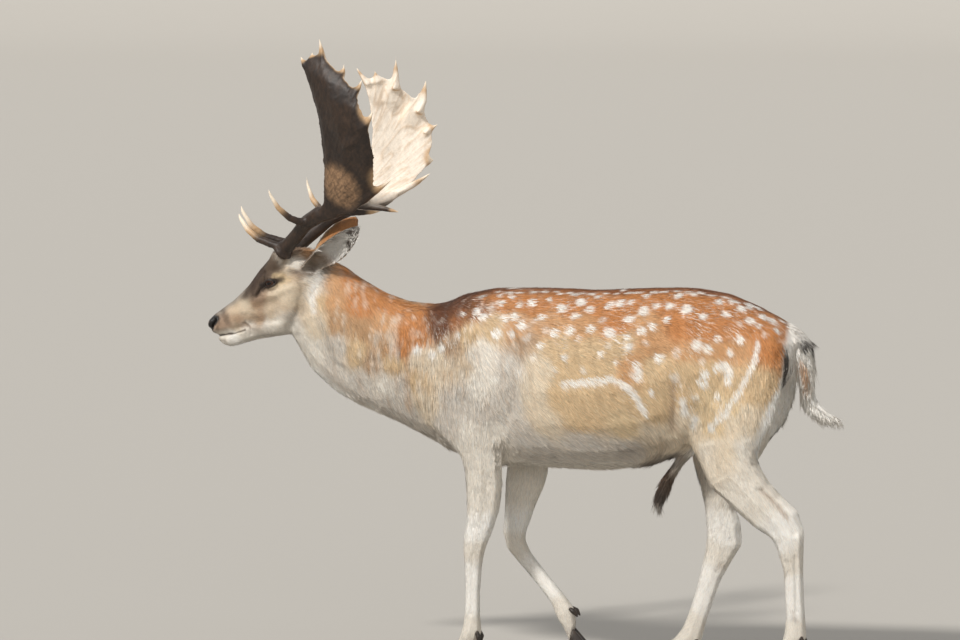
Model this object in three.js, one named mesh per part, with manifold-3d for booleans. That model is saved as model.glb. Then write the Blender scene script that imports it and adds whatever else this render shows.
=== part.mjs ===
// A mature fallow buck, standing in mid-stride, at life size: millimetres, +Z up, nose towards -X, its left side
// towards -Y. Every flesh part is a loft of oval rings, and the surface is the outside of the coat. The body is
// joined whole and then parted by thin slits. Eyes, hooves, dewclaws and antlers are pieces of their own.
import * as THREE from "three";
import { LoftGeometry } from "three/addons/geometries/LoftGeometry.js";
import { mergeVertices } from "three/addons/utils/BufferGeometryUtils.js";
import Module from "manifold-3d";

const wasm = await Module();
wasm.setup();

// Driving dimensions
const GAP = 0.3; // between neighbouring pieces
const SHOULDER_Y = 86; // half the spread of the legs at the shoulder
const FOOT_Y = 74; // and at the fetlocks
const EYE = { x: -601, y: 45, z: 914, radius: 17.5 };
const LIDS = { length: 33, height: 17, depth: 22, slant: 12 }; // the opening between the eyelids
const BURR = { x: -577, y: 45, z: 986, radius: 25, height: 15 };
const EAR_WALL = 7;
const BROW = { length: 76, out: 30, height: 50, slope: 28 }; // the ridge round each eye
const CLAW = { length: 62, width: 20, rise: 40, cleft: 2, lean: 24, crown: 14 };
const DEWCLAW = { length: 26, radius: 8, spread: 13, inset: 15 };

// Facets
const BODY_SIDES = 16;
const LIMB_SIDES = 8;
const LIMB_SQUARENESS = 0.9; // under 1 fills out the corners of a ring with few sides
const TINE_SIDES = 6;
const POINT_SIDES = 4;
const POINT_FLATNESS = 0.8;
const HORN_SIDES = 8;

const vec = (x, y, z) => new THREE.Vector3(x, y, z);
const mix = THREE.MathUtils.lerp;
const radians = THREE.MathUtils.degToRad;

// ---- Solids -------------------------------------------------------------------------------------------------

function solidOf(geometry) {
  const bare = new THREE.BufferGeometry();
  bare.setAttribute("position", geometry.getAttribute("position"));
  bare.setIndex(geometry.getIndex());
  const merged = mergeVertices(bare, 1e-4);
  const solid = new wasm.Manifold(
    new wasm.Mesh({
      numProp: 3,
      vertProperties: merged.attributes.position.array,
      triVerts: new Uint32Array(merged.index.array),
    }),
  );
  return solid;
}

function geometryOf(solid) {
  const mesh = solid.getMesh();
  const positions = new Float32Array(mesh.numVert * 3);
  for (let i = 0; i < mesh.numVert; i++)
    positions.set(mesh.vertProperties.subarray(i * mesh.numProp, i * mesh.numProp + 3), i * 3);
  const geometry = new THREE.BufferGeometry();
  geometry.setAttribute("position", new THREE.BufferAttribute(positions, 3));
  geometry.setIndex(new THREE.BufferAttribute(mesh.triVerts, 1));
  return geometry;
}

const joined = (solids) => solids.reduce((whole, solid) => whole.add(solid));
const without = (whole, tools) => tools.reduce((left, tool) => left.subtract(tool), whole);

// A plate one gap thick, used as the slit that parts two pieces.
function slit({ at, normal, width, height, turn = 0 }) {
  const plate = new THREE.BoxGeometry(width, height, GAP);
  plate.rotateZ(radians(turn));
  const facing = new THREE.Quaternion().setFromUnitVectors(vec(0, 0, 1), vec(...normal).normalize());
  plate.applyQuaternion(facing);
  plate.translate(...at);
  return solidOf(plate);
}

// Takes the pieces of a parted solid and names each one after the nearest centre in the table.
function namePieces(solid, centres) {
  const pieces = solid.decompose().map((piece) => {
    const { min, max } = piece.boundingBox();
    return { piece, centre: vec(...min).add(vec(...max)).multiplyScalar(0.5) };
  });
  const wanted = Object.keys(centres);
  if (pieces.length !== wanted.length) throw new Error(`${pieces.length} pieces for ${wanted.join(" ")}`);
  return Object.entries(centres).map(([name, at]) => {
    const distance = (entry) => entry.centre.distanceTo(vec(...at));
    pieces.sort((a, b) => distance(a) - distance(b));
    return [name, pieces.shift().piece];
  });
}

// ---- Rings and lofts ------------------------------------------------------------------------------------------

const squared = (value, power) => Math.sign(value) * Math.abs(value) ** power;

// A closed oval round `centre`: `across` and `up` are unit vectors, `reach` gives the half sizes.
function oval(centre, across, up, reach, sides, squareness = 1) {
  const ring = [];
  for (let i = 0; i < sides; i++) {
    const angle = (2 * Math.PI * i) / sides;
    const [c, s] = [squared(Math.cos(angle), squareness), squared(Math.sin(angle), squareness)];
    const point = centre.clone().addScaledVector(across, c * reach.side);
    ring.push(point.addScaledVector(up, s * (s > 0 ? reach.top : reach.low)));
  }
  return ring;
}

// Skins a row of rings, taken in the order that turns the walls outwards.
function loft(rings) {
  const [first, second] = rings;
  const centre = (ring) => ring.reduce((sum, point) => sum.add(point), vec(0, 0, 0)).divideScalar(ring.length);
  const middle = centre(first);
  const spin = first.reduce((sum, point, i) => {
    const next = first[(i + 1) % first.length].clone().sub(middle);
    return sum.add(point.clone().sub(middle).cross(next));
  }, vec(0, 0, 0));
  const outward = spin.dot(centre(second).sub(middle)) > 0;
  return solidOf(new LoftGeometry(outward ? rings : rings.toReversed(), { capStart: true, capEnd: true }));
}

// A part on the mid-line. Each station is [top x, top z, low x, low z, half width, height of the widest place
// as a share of the whole].
function midlineLoft(stations, sides = BODY_SIDES) {
  const rings = stations.map(([tx, tz, lx, lz, half, level]) => {
    const top = vec(tx, 0, tz);
    const low = vec(lx, 0, lz);
    const height = top.distanceTo(low);
    const up = top.clone().sub(low).normalize();
    const reach = { side: half, top: height * (1 - level), low: height * level };
    return oval(low.lerp(top, level), vec(0, 1, 0), up, reach, sides);
  });
  return loft(rings);
}

// A limb. Each station is [x, y, z, reach to the front, reach to the back, half width, yaw in degrees]. A yaw
// turns the long axis of the ring, so that its back end comes nearer the mid-line.
function limbLoft(stations) {
  const place = (i) => vec(...stations[THREE.MathUtils.clamp(i, 0, stations.length - 1)].slice(0, 3));
  const rings = stations.map(([, y, , front, back, half, yaw], i) => {
    const along = place(i + 1).sub(place(i - 1)).setY(0).normalize();
    const forward = vec(along.z, 0, -along.x).multiplyScalar(along.z > 0 ? -1 : 1);
    const turned = forward.applyAxisAngle(along, radians(yaw) * Math.sign(y) * Math.sign(along.z));
    const across = turned.clone().cross(along).normalize();
    return oval(place(i), across, turned, { side: half, top: front, low: back }, LIMB_SIDES, LIMB_SQUARENESS);
  });
  return loft(rings);
}

// A horn-like spike along a curve, [x, y, z, radius] at each station.
function spike(stations, sides = TINE_SIDES, flatness = 1) {
  const path = new THREE.CatmullRomCurve3(stations.map(([x, y, z]) => vec(x, y, z)));
  const frames = path.computeFrenetFrames(stations.length - 1, false);
  const rings = stations.map(([x, y, z, radius], i) => {
    const reach = { side: radius * flatness, top: radius, low: radius };
    return oval(vec(x, y, z), frames.binormals[i], frames.normals[i], reach, sides);
  });
  return loft(rings);
}

// ---- Trunk, neck, head and tail -----------------------------------------------------------------------------

const trunk = midlineLoft(
  [
    [-205, 850, -262, 580, 78, 0.5],
    [-150, 893, -185, 520, 106, 0.5],
    [-60, 914, -60, 484, 122, 0.48],
    [70, 917, 70, 482, 138, 0.46],
    [200, 914, 200, 478, 146, 0.46],
    [320, 921, 325, 492, 142, 0.48],
    [420, 924, 425, 535, 130, 0.5],
    [510, 911, 515, 580, 118, 0.52],
    [585, 881, 588, 625, 104, 0.54],
    [640, 852, 640, 680, 80, 0.55],
    [676, 820, 672, 742, 46, 0.55],
  ],
);

const neck = midlineLoft(
  [
    [-470, 972, -577, 806, 46, 0.5],
    [-430, 955, -552, 766, 56, 0.5],
    [-385, 927, -515, 704, 67, 0.5],
    [-330, 897, -455, 650, 80, 0.48],
    [-268, 875, -380, 613, 92, 0.46],
    [-205, 872, -300, 582, 102, 0.45],
    [-140, 882, -215, 540, 106, 0.45],
  ],
);

const skull = midlineLoft(
  [
    [-773, 817, -771, 799, 19, 0.5],
    [-763, 828, -760, 786, 27, 0.5],
    [-741, 845, -737, 782, 30, 0.45],
    [-708, 869, -700, 787, 33, 0.42],
    [-672, 904, -662, 797, 39, 0.42],
    [-644, 942, -628, 784, 48, 0.55],
    [-616, 972, -597, 783, 56, 0.6],
    [-582, 992, -572, 786, 59, 0.58],
    [-535, 994, -550, 792, 56, 0.56],
    [-492, 984, -527, 812, 50, 0.55],
    [-458, 962, -505, 840, 40, 0.5],
  ],
);

const lowerJaw = midlineLoft(
  [
    [-748, 779, -746, 769, 13, 0.5],
    [-737, 785, -734, 758, 19, 0.5],
    [-716, 796, -717, 753, 24, 0.5],
    [-690, 812, -692, 760, 29, 0.5],
    [-650, 838, -652, 772, 37, 0.5],
    [-605, 850, -606, 781, 45, 0.5],
    [-572, 850, -575, 786, 44, 0.5],
  ],
  HORN_SIDES,
);

// The stub of bone and hair that carries each antler.
const pedicle = (side) =>
  limbLoft(
    [
      [-606, side * 30, 935, 24, 24, 22, 0],
      [-590, side * 39, 962, 22, 22, 21, 0],
      [BURR.x - 4, side * (BURR.y - 2.5), BURR.z - 4, 20, 20, 19, 0],
    ],
  );

// The ridge over and round each eye socket.
function brow(side) {
  const ridge = new THREE.SphereGeometry(0.5, 8, 6);
  ridge.scale(BROW.length, BROW.out, BROW.height);
  ridge.rotateY(radians(-BROW.slope));
  ridge.translate(EYE.x + 3, side * (EYE.y + 2), EYE.z + 3);
  return solidOf(ridge);
}

const sheath = midlineLoft(
  [
    [470, 590, 440, 530, 20, 0.5],
    [430, 556, 404, 502, 24, 0.5],
    [388, 518, 380, 468, 22, 0.5],
    [356, 478, 370, 438, 17, 0.5],
    [337, 440, 356, 414, 11, 0.5],
    [326, 404, 338, 396, 5, 0.5],
  ],
  HORN_SIDES,
);

const tail = midlineLoft(
  [
    [660, 846, 634, 800, 27, 0.5],
    [704, 802, 668, 758, 28, 0.5],
    [716, 745, 675, 722, 26, 0.5],
    [711, 690, 677, 680, 21, 0.5],
    [721, 656, 682, 640, 15, 0.5],
    [746, 633, 718, 612, 10, 0.5],
    [780, 617, 776, 609, 3, 0.5],
  ],
  LIMB_SIDES,
);

// ---- Ears -----------------------------------------------------------------------------------------------------

// A ring shaped like a C that opens along `open`.
function cupRing(centre, along, open, half, depth, turns = 5) {
  const across = along.clone().cross(open).normalize();
  const outer = [];
  const inner = [];
  for (let i = 0; i <= turns; i++) {
    const angle = mix(-0.56, 0.56, i / turns) * Math.PI;
    const at = (w, d) =>
      centre
        .clone()
        .addScaledVector(across, Math.sin(angle) * w)
        .addScaledVector(open, -Math.cos(angle) * d);
    outer.push(at(half, depth));
    inner.push(at(half - EAR_WALL, depth - EAR_WALL));
  }
  return [...outer, ...inner.toReversed()];
}

// Each row is [share of the length, half width, depth of the cup].
const earShape = [
  [-0.12, 20, 18],
  [0.08, 25, 20],
  [0.28, 33, 21],
  [0.5, 36, 19],
  [0.7, 32, 16],
  [0.87, 22, 13],
  [1, 9, 8],
];

function ear({ base, tip, open, bend }) {
  const [root, end] = [vec(...base), vec(...tip)];
  const axis = end.clone().sub(root).normalize();
  const facing = vec(...open).projectOnPlane(axis).normalize();
  const rings = earShape.map(([share, half, depth]) => {
    const sway = Math.sin(Math.PI * THREE.MathUtils.clamp(share, 0, 1)) * bend;
    const centre = root.clone().lerp(end, share).addScaledVector(facing, sway);
    return cupRing(centre, axis, facing, half, depth);
  });
  return loft(rings);
}

const ears = {
  left: { base: [-503, -50, 952], tip: [-360, -118, 1057], open: [0.1, -0.8, -0.6], bend: 9 },
  right: { base: [-518, 52, 954], tip: [-458, 186, 1057], open: [-0.3, 0.85, -0.4], bend: -7 },
};

// ---- Legs -----------------------------------------------------------------------------------------------------

// Each station is [x, y, z, front, back, half width, yaw], from the shoulder or hip down to the hoof.
const legs = {
  foreleg_left: [
    [-95, -42, 850, 50, 50, 24, 0],
    [-118, -70, 780, 84, 88, 38, 0],
    [-135, -SHOULDER_Y, 700, 96, 105, 42, 0],
    [-125, -SHOULDER_Y - 3, 625, 92, 98, 42, 0],
    [-95, -SHOULDER_Y - 3, 572, 68, 74, 40, 0],
    [-75, -SHOULDER_Y, 530, 55, 55, 36, 0],
    [-67, -84, 485, 50, 50, 32, 0],
    [-66, -82, 440, 47, 47, 29, 0],
    [-70, -80, 392, 41, 43, 26, 0],
    [-79, -78, 350, 34, 37, 24, 0],
    [-89, -77, 315, 30, 32, 25, 0],
    [-94, -76, 285, 26, 28, 23, 0],
    [-96, -75, 250, 21, 24, 18, 0],
    [-97, -FOOT_Y, 190, 18, 20, 16, 0],
    [-98, -FOOT_Y, 130, 19, 21, 18, 0],
    [-99, -FOOT_Y, 98, 23, 27, 23, 0],
    [-113, -FOOT_Y, 68, 19, 20, 21, 0],
    [-127, -FOOT_Y, 38, 24, 22, 23, 0],
  ],
  foreleg_right: [
    [-70, 42, 850, 50, 50, 24, 0],
    [-85, 70, 780, 84, 88, 38, 0],
    [-92, SHOULDER_Y, 700, 96, 105, 42, 0],
    [-70, SHOULDER_Y + 3, 625, 92, 98, 42, 0],
    [-25, SHOULDER_Y + 3, 565, 70, 72, 40, 0],
    [2, SHOULDER_Y, 520, 60, 58, 36, 0],
    [-3, 84, 472, 55, 55, 32, 0],
    [-10, 82, 433, 49, 50, 29, 0],
    [-20, 80, 392, 40, 41, 26, 0],
    [-27, 78, 350, 33, 34, 24, 0],
    [-33, 77, 318, 30, 29, 25, 0],
    [-26, 76, 290, 29, 22, 23, 0],
    [-6, 75, 258, 22, 19, 18, 0],
    [37, FOOT_Y, 205, 18, 19, 16, 0],
    [75, FOOT_Y, 158, 19, 21, 18, 0],
    [92, FOOT_Y, 131, 25, 25, 23, 0],
    [103, FOOT_Y, 98, 19, 20, 21, 0],
    [109, FOOT_Y, 66, 24, 22, 23, 0],
  ],
  hindleg_left: [
    [585, -42, 850, 66, 60, 32, 0],
    [568, -62, 780, 106, 102, 52, 14],
    [552, -72, 705, 126, 120, 57, 22],
    [534, -78, 635, 125, 122, 54, 24],
    [524, -88, 565, 106, 102, 47, 18],
    [546, -95, 495, 78, 68, 40, 8],
    [590, -95, 437, 56, 56, 33, 0],
    [624, -92, 403, 52, 53, 28, 0],
    [655, -88, 376, 46, 53, 25, 0],
    [673, -86, 345, 38, 42, 25, 0],
    [680, -84, 308, 33, 31, 24, 0],
    [686, -82, 265, 26, 24, 20, 0],
    [688, -80, 200, 25, 23, 18, 0],
    [690, -78, 150, 24, 24, 19, 0],
    [688, -78, 112, 26, 30, 24, 0],
    [674, -78, 76, 21, 22, 22, 0],
    [659, -78, 38, 26, 24, 24, 0],
  ],
  hindleg_right: [
    [585, 42, 850, 66, 60, 32, 0],
    [562, 64, 780, 108, 105, 52, 8],
    [540, 76, 705, 130, 126, 54, 12],
    [510, 84, 640, 134, 130, 51, 12],
    [486, 91, 575, 118, 112, 46, 8],
    [478, 95, 500, 80, 80, 40, 4],
    [471, 95, 435, 54, 56, 32, 0],
    [466, 92, 392, 36, 40, 27, 0],
    [472, 88, 350, 38, 50, 25, 0],
    [478, 86, 308, 42, 47, 25, 0],
    [464, 84, 268, 34, 35, 23, 0],
    [449, 82, 228, 28, 28, 20, 0],
    [437, 80, 190, 25, 26, 18, 0],
    [418, 78, 130, 24, 25, 19, 0],
    [402, 78, 84, 27, 30, 24, 0],
    [374, 78, 58, 22, 22, 22, 0],
    [347, 78, 38, 26, 24, 24, 0],
  ],
};

// How far each foot's sole is tipped, toe down, and the stations that its cannon bone lies between.
const feet = {
  foreleg_left: { pitch: 0, knee: 10, fetlock: 14 },
  foreleg_right: { pitch: 62, knee: 10, fetlock: 14 },
  hindleg_left: { pitch: 0, knee: 10, fetlock: 13 },
  hindleg_right: { pitch: 0, knee: 9, fetlock: 13 },
};
const legNames = Object.keys(legs);

const floorSlab = solidOf(new THREE.BoxGeometry(2400, 800, 100).translate(0, 0, -50));

// Everything on the hoof's side of the coronet: the pastern ends at this block, and the claws begin in it.
function coronetBlock(leg, inset) {
  const [length, width, depth] = [2.6 * CLAW.length, 3.5 * CLAW.width, 2 * CLAW.rise];
  const block = new THREE.BoxGeometry(length, width, depth);
  block.translate(-CLAW.width, 0, -depth / 2 - inset);
  block.rotateY(radians(-feet[leg].pitch - CLAW.crown));
  block.translate(...legs[leg].at(-1).slice(0, 3));
  return solidOf(block);
}

// One claw of a hoof, pointed in front and leaning forward. Its sole starts just under the floor, which trims it
// flat. Each ring is [share of the rise, fullness].
function claw(leg, side) {
  const middle = (side * (CLAW.width + CLAW.cleft)) / 2;
  const ring = ([share, fuller]) => {
    const half = (CLAW.length / 2) * mix(1.1, 0.8, share);
    const points = [];
    for (let i = 0; i < HORN_SIDES; i++) {
      const angle = (2 * Math.PI * (i + 0.5)) / HORN_SIDES;
      const [c, s] = [Math.cos(angle), Math.sin(angle)];
      const toe = c < 0 ? 0.4 * c * c : 0;
      const y = middle + s * (CLAW.width / 2) * fuller * (1.08 - toe);
      points.push(vec(mix(-CLAW.lean, 0, share) + half * c, y, mix(-CLAW.rise - 2, 0, share)));
    }
    return points;
  };
  const rings = [
    [0, 0.98],
    [0.5, 1.04],
    [1.3, 0.96],
  ].map(ring);
  const placed = geometryOf(loft(rings));
  placed.rotateY(radians(-feet[leg].pitch));
  placed.translate(...legs[leg].at(-1).slice(0, 3));
  return solidOf(placed).subtract(floorSlab).intersect(coronetBlock(leg, GAP));
}

// A small horn behind the fetlock, half sunk in the skin.
function dewclaw(leg, side, grow = 0) {
  const [above, fetlock, below] = [-4, -3, -2].map((i) => vec(...legs[leg].at(i).slice(0, 3)));
  const down = below.clone().sub(above).normalize();
  const back = vec(-down.z, 0, down.x);
  const start = fetlock.clone().addScaledVector(back, DEWCLAW.inset);
  start.y += side * DEWCLAW.spread;
  const rows = [
    [-2, 1, 5],
    [0.4 * DEWCLAW.length, 9, DEWCLAW.radius],
    [DEWCLAW.length, 12, 3],
  ].map(([run, out, radius]) => {
    const point = start.clone().addScaledVector(down, run).addScaledVector(back, out);
    return [...point.toArray(), radius + grow];
  });
  return spike(rows, POINT_SIDES);
}

// ---- Antlers --------------------------------------------------------------------------------------------------

// A flat, slightly cupped plate. Each station is the front edge, the rear edge, the thickness and the cup.
function palmLoft(stations, side, sides = 8) {
  const rings = stations.map(([fx, fy, fz, rx, ry, rz, thick, cup]) => {
    const front = vec(fx, side * fy, fz);
    const rear = vec(rx, side * ry, rz);
    const outward = vec(front.y - rear.y, rear.x - front.x, 0).normalize().multiplyScalar(side);
    const ring = [];
    for (let i = 0; i < sides; i++) {
      const angle = (2 * Math.PI * i) / sides;
      const u = Math.cos(angle);
      const lift = cup * (1 - u * u) + squared(Math.sin(angle), 0.8) * (thick / 2);
      ring.push(front.clone().lerp(rear, (1 - u) / 2).addScaledVector(outward, lift));
    }
    return ring;
  });
  return loft(rings);
}

// Beam and tines are rows of [x, y, z, radius], with y measured out from the mid-line.
const beamPath = [
  [BURR.x + 5, BURR.y + 3, BURR.z + 6, 19],
  [-553, 60, 1009, 17.5],
  [-528, 78, 1032, 17],
  [-499, 101, 1062, 18.5],
  [-458, 126, 1085, 21],
  [-412, 140, 1095, 19],
];

const antlers = {
  left: {
    side: -1,
    brow: [
      [-566, 55, 996, 12],
      [-594, 52, 1005, 11],
      [-637, 42, 1018, 9.5],
      [-665, 34, 1039, 8],
      [-685, 29, 1066, 5.5],
      [-692, 27, 1083, 1.5],
    ],
    trez: [
      [-492, 112, 1060, 12],
      [-508, 126, 1066, 10.5],
      [-529, 141, 1076, 9],
      [-553, 155, 1101, 7.5],
      [-570, 165, 1133, 5],
      [-575, 169, 1155, 1.5],
    ],
    back: [
      [-400, 138, 1091, 11],
      [-360, 139, 1092, 9],
      [-325, 140, 1093, 6],
      [-296, 140, 1097, 1.5],
    ],
    palm: [
      [-470, 122, 1078, -398, 143, 1086, 34, 0],
      [-444, 152, 1114, -350, 160, 1106, 25, 4],
      [-435, 184, 1172, -300, 200, 1152, 18, 10],
      [-429, 214, 1246, -279, 264, 1232, 15, 15],
      [-433, 231, 1322, -283, 294, 1292, 13, 18],
      [-450, 237, 1388, -301, 298, 1340, 12, 17],
      [-468, 237, 1440, -317, 289, 1384, 11, 14],
      [-456, 237, 1462, -352, 274, 1418, 10, 9],
      [-430, 240, 1472, -392, 256, 1450, 8, 4],
    ],
    points: [
      [
        [-338, 172, 1122, 15],
        [-300, 192, 1146, 11],
        [-270, 202, 1167, 6.5],
        [-250, 205, 1181, 1.5],
      ],
      [
        [-300, 292, 1300, 12],
        [-284, 299, 1322, 7],
        [-273, 301, 1350, 1.5],
      ],
      [
        [-330, 281, 1370, 12],
        [-314, 284, 1394, 7],
        [-305, 279, 1424, 1.5],
      ],
      [
        [-366, 264, 1408, 12],
        [-357, 266, 1430, 6.5],
        [-358, 262, 1456, 1.5],
      ],
      [
        [-412, 247, 1440, 19],
        [-416, 248, 1474, 10],
        [-424, 251, 1516, 1.5],
      ],
      [
        [-446, 238, 1452, 9],
        [-445, 234, 1468, 5],
        [-443, 231, 1481, 1.5],
      ],
      [
        [-462, 236, 1440, 11],
        [-471, 230, 1458, 6],
        [-477, 226, 1467, 1.5],
      ],
    ],
  },
  right: {
    side: 1,
    brow: [
      [-566, 55, 996, 12],
      [-596, 51, 1004, 11],
      [-643, 40, 1018, 9.5],
      [-675, 32, 1043, 8],
      [-696, 28, 1077, 5.5],
      [-703, 26, 1099, 1.5],
    ],
    trez: [
      [-492, 112, 1060, 12],
      [-512, 128, 1068, 10.5],
      [-538, 145, 1082, 9],
      [-560, 156, 1104, 7.5],
      [-573, 160, 1138, 5],
      [-576, 158, 1168, 1.5],
    ],
    back: [
      [-402, 132, 1088, 10],
      [-375, 130, 1085, 8],
      [-350, 127, 1080, 5.5],
      [-327, 125, 1076, 1.5],
    ],
    palm: [
      [-470, 122, 1078, -400, 140, 1086, 34, 0],
      [-444, 152, 1110, -366, 172, 1098, 25, 4],
      [-436, 182, 1156, -326, 222, 1136, 18, 10],
      [-431, 210, 1214, -299, 272, 1182, 15, 15],
      [-433, 228, 1274, -290, 294, 1232, 13, 18],
      [-444, 237, 1330, -296, 295, 1276, 12, 17],
      [-452, 240, 1376, -310, 283, 1318, 11, 14],
      [-440, 241, 1398, -346, 264, 1356, 10, 9],
      [-416, 243, 1402, -384, 252, 1382, 8, 4],
    ],
    points: [
      [
        [-356, 184, 1118, 14],
        [-318, 203, 1138, 10],
        [-290, 205, 1157, 6.5],
        [-268, 205, 1174, 1.5],
      ],
      [
        [-322, 272, 1180, 11],
        [-300, 286, 1189, 7],
        [-286, 292, 1199, 1.5],
      ],
      [
        [-316, 288, 1258, 15],
        [-296, 297, 1272, 8],
        [-279, 301, 1285, 1.5],
      ],
      [
        [-326, 274, 1308, 16],
        [-311, 278, 1340, 9],
        [-305, 275, 1402, 1.5],
      ],
      [
        [-378, 254, 1366, 17],
        [-375, 252, 1398, 9.5],
        [-376, 250, 1455, 1.5],
      ],
      [
        [-418, 243, 1382, 12],
        [-424, 241, 1402, 6],
        [-431, 240, 1421, 1.5],
      ],
      [
        [-440, 238, 1376, 12],
        [-460, 235, 1402, 7],
        [-478, 232, 1430, 1.5],
      ],
    ],
  },
};

const mirrored = (rows, side) => rows.map(([x, y, z, radius]) => [x, side * y, z, radius]);

// The knobbly ring at the foot of the antler.
function burr(side, grow = 0) {
  const start = vec(BURR.x, side * BURR.y, BURR.z);
  const [x, y, z] = beamPath[2];
  const axis = vec(x, side * y, z).sub(start).normalize();
  const rows = [
    [-grow, BURR.radius - 4],
    [0.35 * BURR.height, BURR.radius],
    [0.7 * BURR.height, BURR.radius - 1],
    [BURR.height, BURR.radius - 6],
  ].map(([run, radius]) => [...start.clone().addScaledVector(axis, run).toArray(), radius + grow]);
  return spike(rows, LIMB_SIDES);
}

// A slit straight across a row of stations, at station `i` or a share of the way to the next one.
function slitAcross(rows, i, size, share = 0) {
  const [here, next] = [rows[i], rows[i + 1]].map((row) => vec(...row.slice(0, 3)));
  const at = here.clone().lerp(next, share).toArray();
  return slit({ at, normal: next.sub(here).toArray(), width: size, height: size });
}

// The whole antler, parted at its forks.
function antlerPieces(name) {
  const { side, palm, points, ...tines } = antlers[name];
  const [beam, brow, trez, back, spur] = [beamPath, tines.brow, tines.trez, tines.back, points[0]].map((rows) =>
    mirrored(rows, side),
  );
  const whole = joined([
    burr(side),
    spike(beam, LIMB_SIDES),
    ...[brow, trez, back].map((tine) => spike(tine)),
    palmLoft(palm, side),
    ...points.map((point) => spike(mirrored(point, side), POINT_SIDES, POINT_FLATNESS)),
  ]);
  const parted = without(whole, [
    slitAcross(brow, 1, 40),
    slitAcross(trez, 1, 36),
    slitAcross(back, 1, 30),
    slitAcross(beam, 3, 110),
    slitAcross(spur, 1, 34, 0.5),
  ]);
  return namePieces(parted, {
    [`antler_${name}_beam`]: beam[2].slice(0, 3),
    [`antler_${name}_brow_tine`]: brow[3].slice(0, 3),
    [`antler_${name}_trez_tine`]: trez[3].slice(0, 3),
    [`antler_${name}_back_tine`]: back[2].slice(0, 3),
    [`antler_${name}_spur`]: spur[2].slice(0, 3),
    [`antler_${name}_palm`]: [-370, side * 210, 1280],
  });
}

// ---- The body, joined and parted --------------------------------------------------------------------------

const SIDES = [-1, 1];
const sideName = (side) => (side < 0 ? "left" : "right");

function eyeball(side, grow = 0) {
  const ball = new THREE.SphereGeometry(EYE.radius + grow, 10, 7);
  ball.rotateX(Math.PI / 2);
  ball.translate(EYE.x, side * EYE.y, EYE.z);
  return solidOf(ball);
}

function lidOpening(side) {
  const almond = new THREE.SphereGeometry(1, 10, 6);
  almond.scale(LIDS.length / 2, LIDS.depth / 2, LIDS.height / 2);
  almond.rotateY(radians(-LIDS.slant));
  almond.translate(EYE.x, side * (EYE.y + LIDS.depth / 2 + 4), EYE.z);
  return solidOf(almond);
}

const flesh = joined([
  trunk,
  neck,
  skull,
  lowerJaw,
  sheath,
  tail,
  ...SIDES.flatMap((side) => [pedicle(side), brow(side), ear(ears[sideName(side)])]),
  ...legNames.map((leg) => limbLoft(legs[leg])),
]);

const hollows = [
  floorSlab,
  ...SIDES.flatMap((side) => [eyeball(side, GAP), lidOpening(side), burr(side, GAP)]),
  ...legNames.flatMap((leg) => [coronetBlock(leg, 0), ...SIDES.map((side) => dewclaw(leg, side, GAP))]),
];

// Where the body parts: across the neck, the ears, the tail, the sheath and each leg.
const slits = [
  slit({ at: [-508, 0, 873], normal: [-0.815, 0, 0.579], width: 280, height: 132 }),
  slit({ at: [-290, 0, 735], normal: [-0.935, 0, 0.355], width: 360, height: 260 }),
  slit({ at: [671, 0, 770], normal: [1, 0, 0], width: 220, height: 130 }),
  slit({ at: [404, 0, 511], normal: [-0.43, 0, -0.9], width: 150, height: 60 }),
  ...SIDES.map((side) => {
    const { base, tip } = ears[sideName(side)];
    const axis = vec(...tip).sub(vec(...base)).normalize();
    const at = vec(...base).addScaledVector(axis, 30).toArray();
    return slit({ at, normal: axis.toArray(), width: 66, height: 66 });
  }),
  ...legNames.flatMap((leg) => legSlits(leg)),
];

function legSlits(leg) {
  const side = Math.sign(legs[leg][0][1]);
  const fore = leg.startsWith("foreleg");
  const { knee, fetlock } = feet[leg];
  const [x] = legs[leg][5];
  const top = fore
    ? slit({ at: [x, side * 95, 522], normal: [0, side * -0.61, 0.79], width: 190, height: 140 })
    : slit({ at: [x - 5, side * 99, 505 + 0.43 * (x - 435)], normal: [-0.395, 0, 0.919], width: 372, height: 142 });
  const rows = legs[leg];
  return [top, slitAcross(rows, knee, 130), slitAcross(rows, fetlock, 66)];
}

// The middle of each flesh piece, near enough to tell it from its neighbours.
const fleshCentres = {
  head: [-609, 0, 878],
  neck: [-404, 0, 780],
  trunk: [165, 0, 700],
  tail: [726, 0, 722],
  sheath: [369, 0, 457],
  ...Object.fromEntries(
    Object.entries(ears).map(([name, { base, tip }]) => [
      `ear_${name}`,
      vec(...base).lerp(vec(...tip), 0.5).toArray(),
    ]),
  ),
  ...Object.fromEntries(
    legNames.flatMap((leg) => [
      [`${leg}_upper`, legs[leg][7].slice(0, 3)],
      [`${leg}_cannon`, legs[leg][12].slice(0, 3)],
      [`${leg}_pastern`, legs[leg].at(-2).slice(0, 3)],
    ]),
  ),
};

// ---- The model ------------------------------------------------------------------------------------------------

const finishes = {
  coat: { color: 0xb5834f, roughness: 0.9, metalness: 0 },
  paleCoat: { color: 0xd9cdb8, roughness: 0.9, metalness: 0 },
  antler: { color: 0x5b4636, roughness: 0.6, metalness: 0 },
  palm: { color: 0x75604a, roughness: 0.6, metalness: 0 },
  tine: { color: 0xcdb592, roughness: 0.5, metalness: 0 },
  hoof: { color: 0x2b2622, roughness: 0.45, metalness: 0 },
  eye: { color: 0x1a110c, roughness: 0.08, metalness: 0 },
};

const isPale = (name) => /cannon|pastern|sheath/.test(name);

function antlerFinish(name) {
  if (/tine|spur/.test(name)) return finishes.tine;
  return name.endsWith("palm") ? finishes.palm : finishes.antler;
}

const toeName = (leg, side) => (side === Math.sign(legs[leg][0][1]) ? "outer" : "inner");

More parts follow.
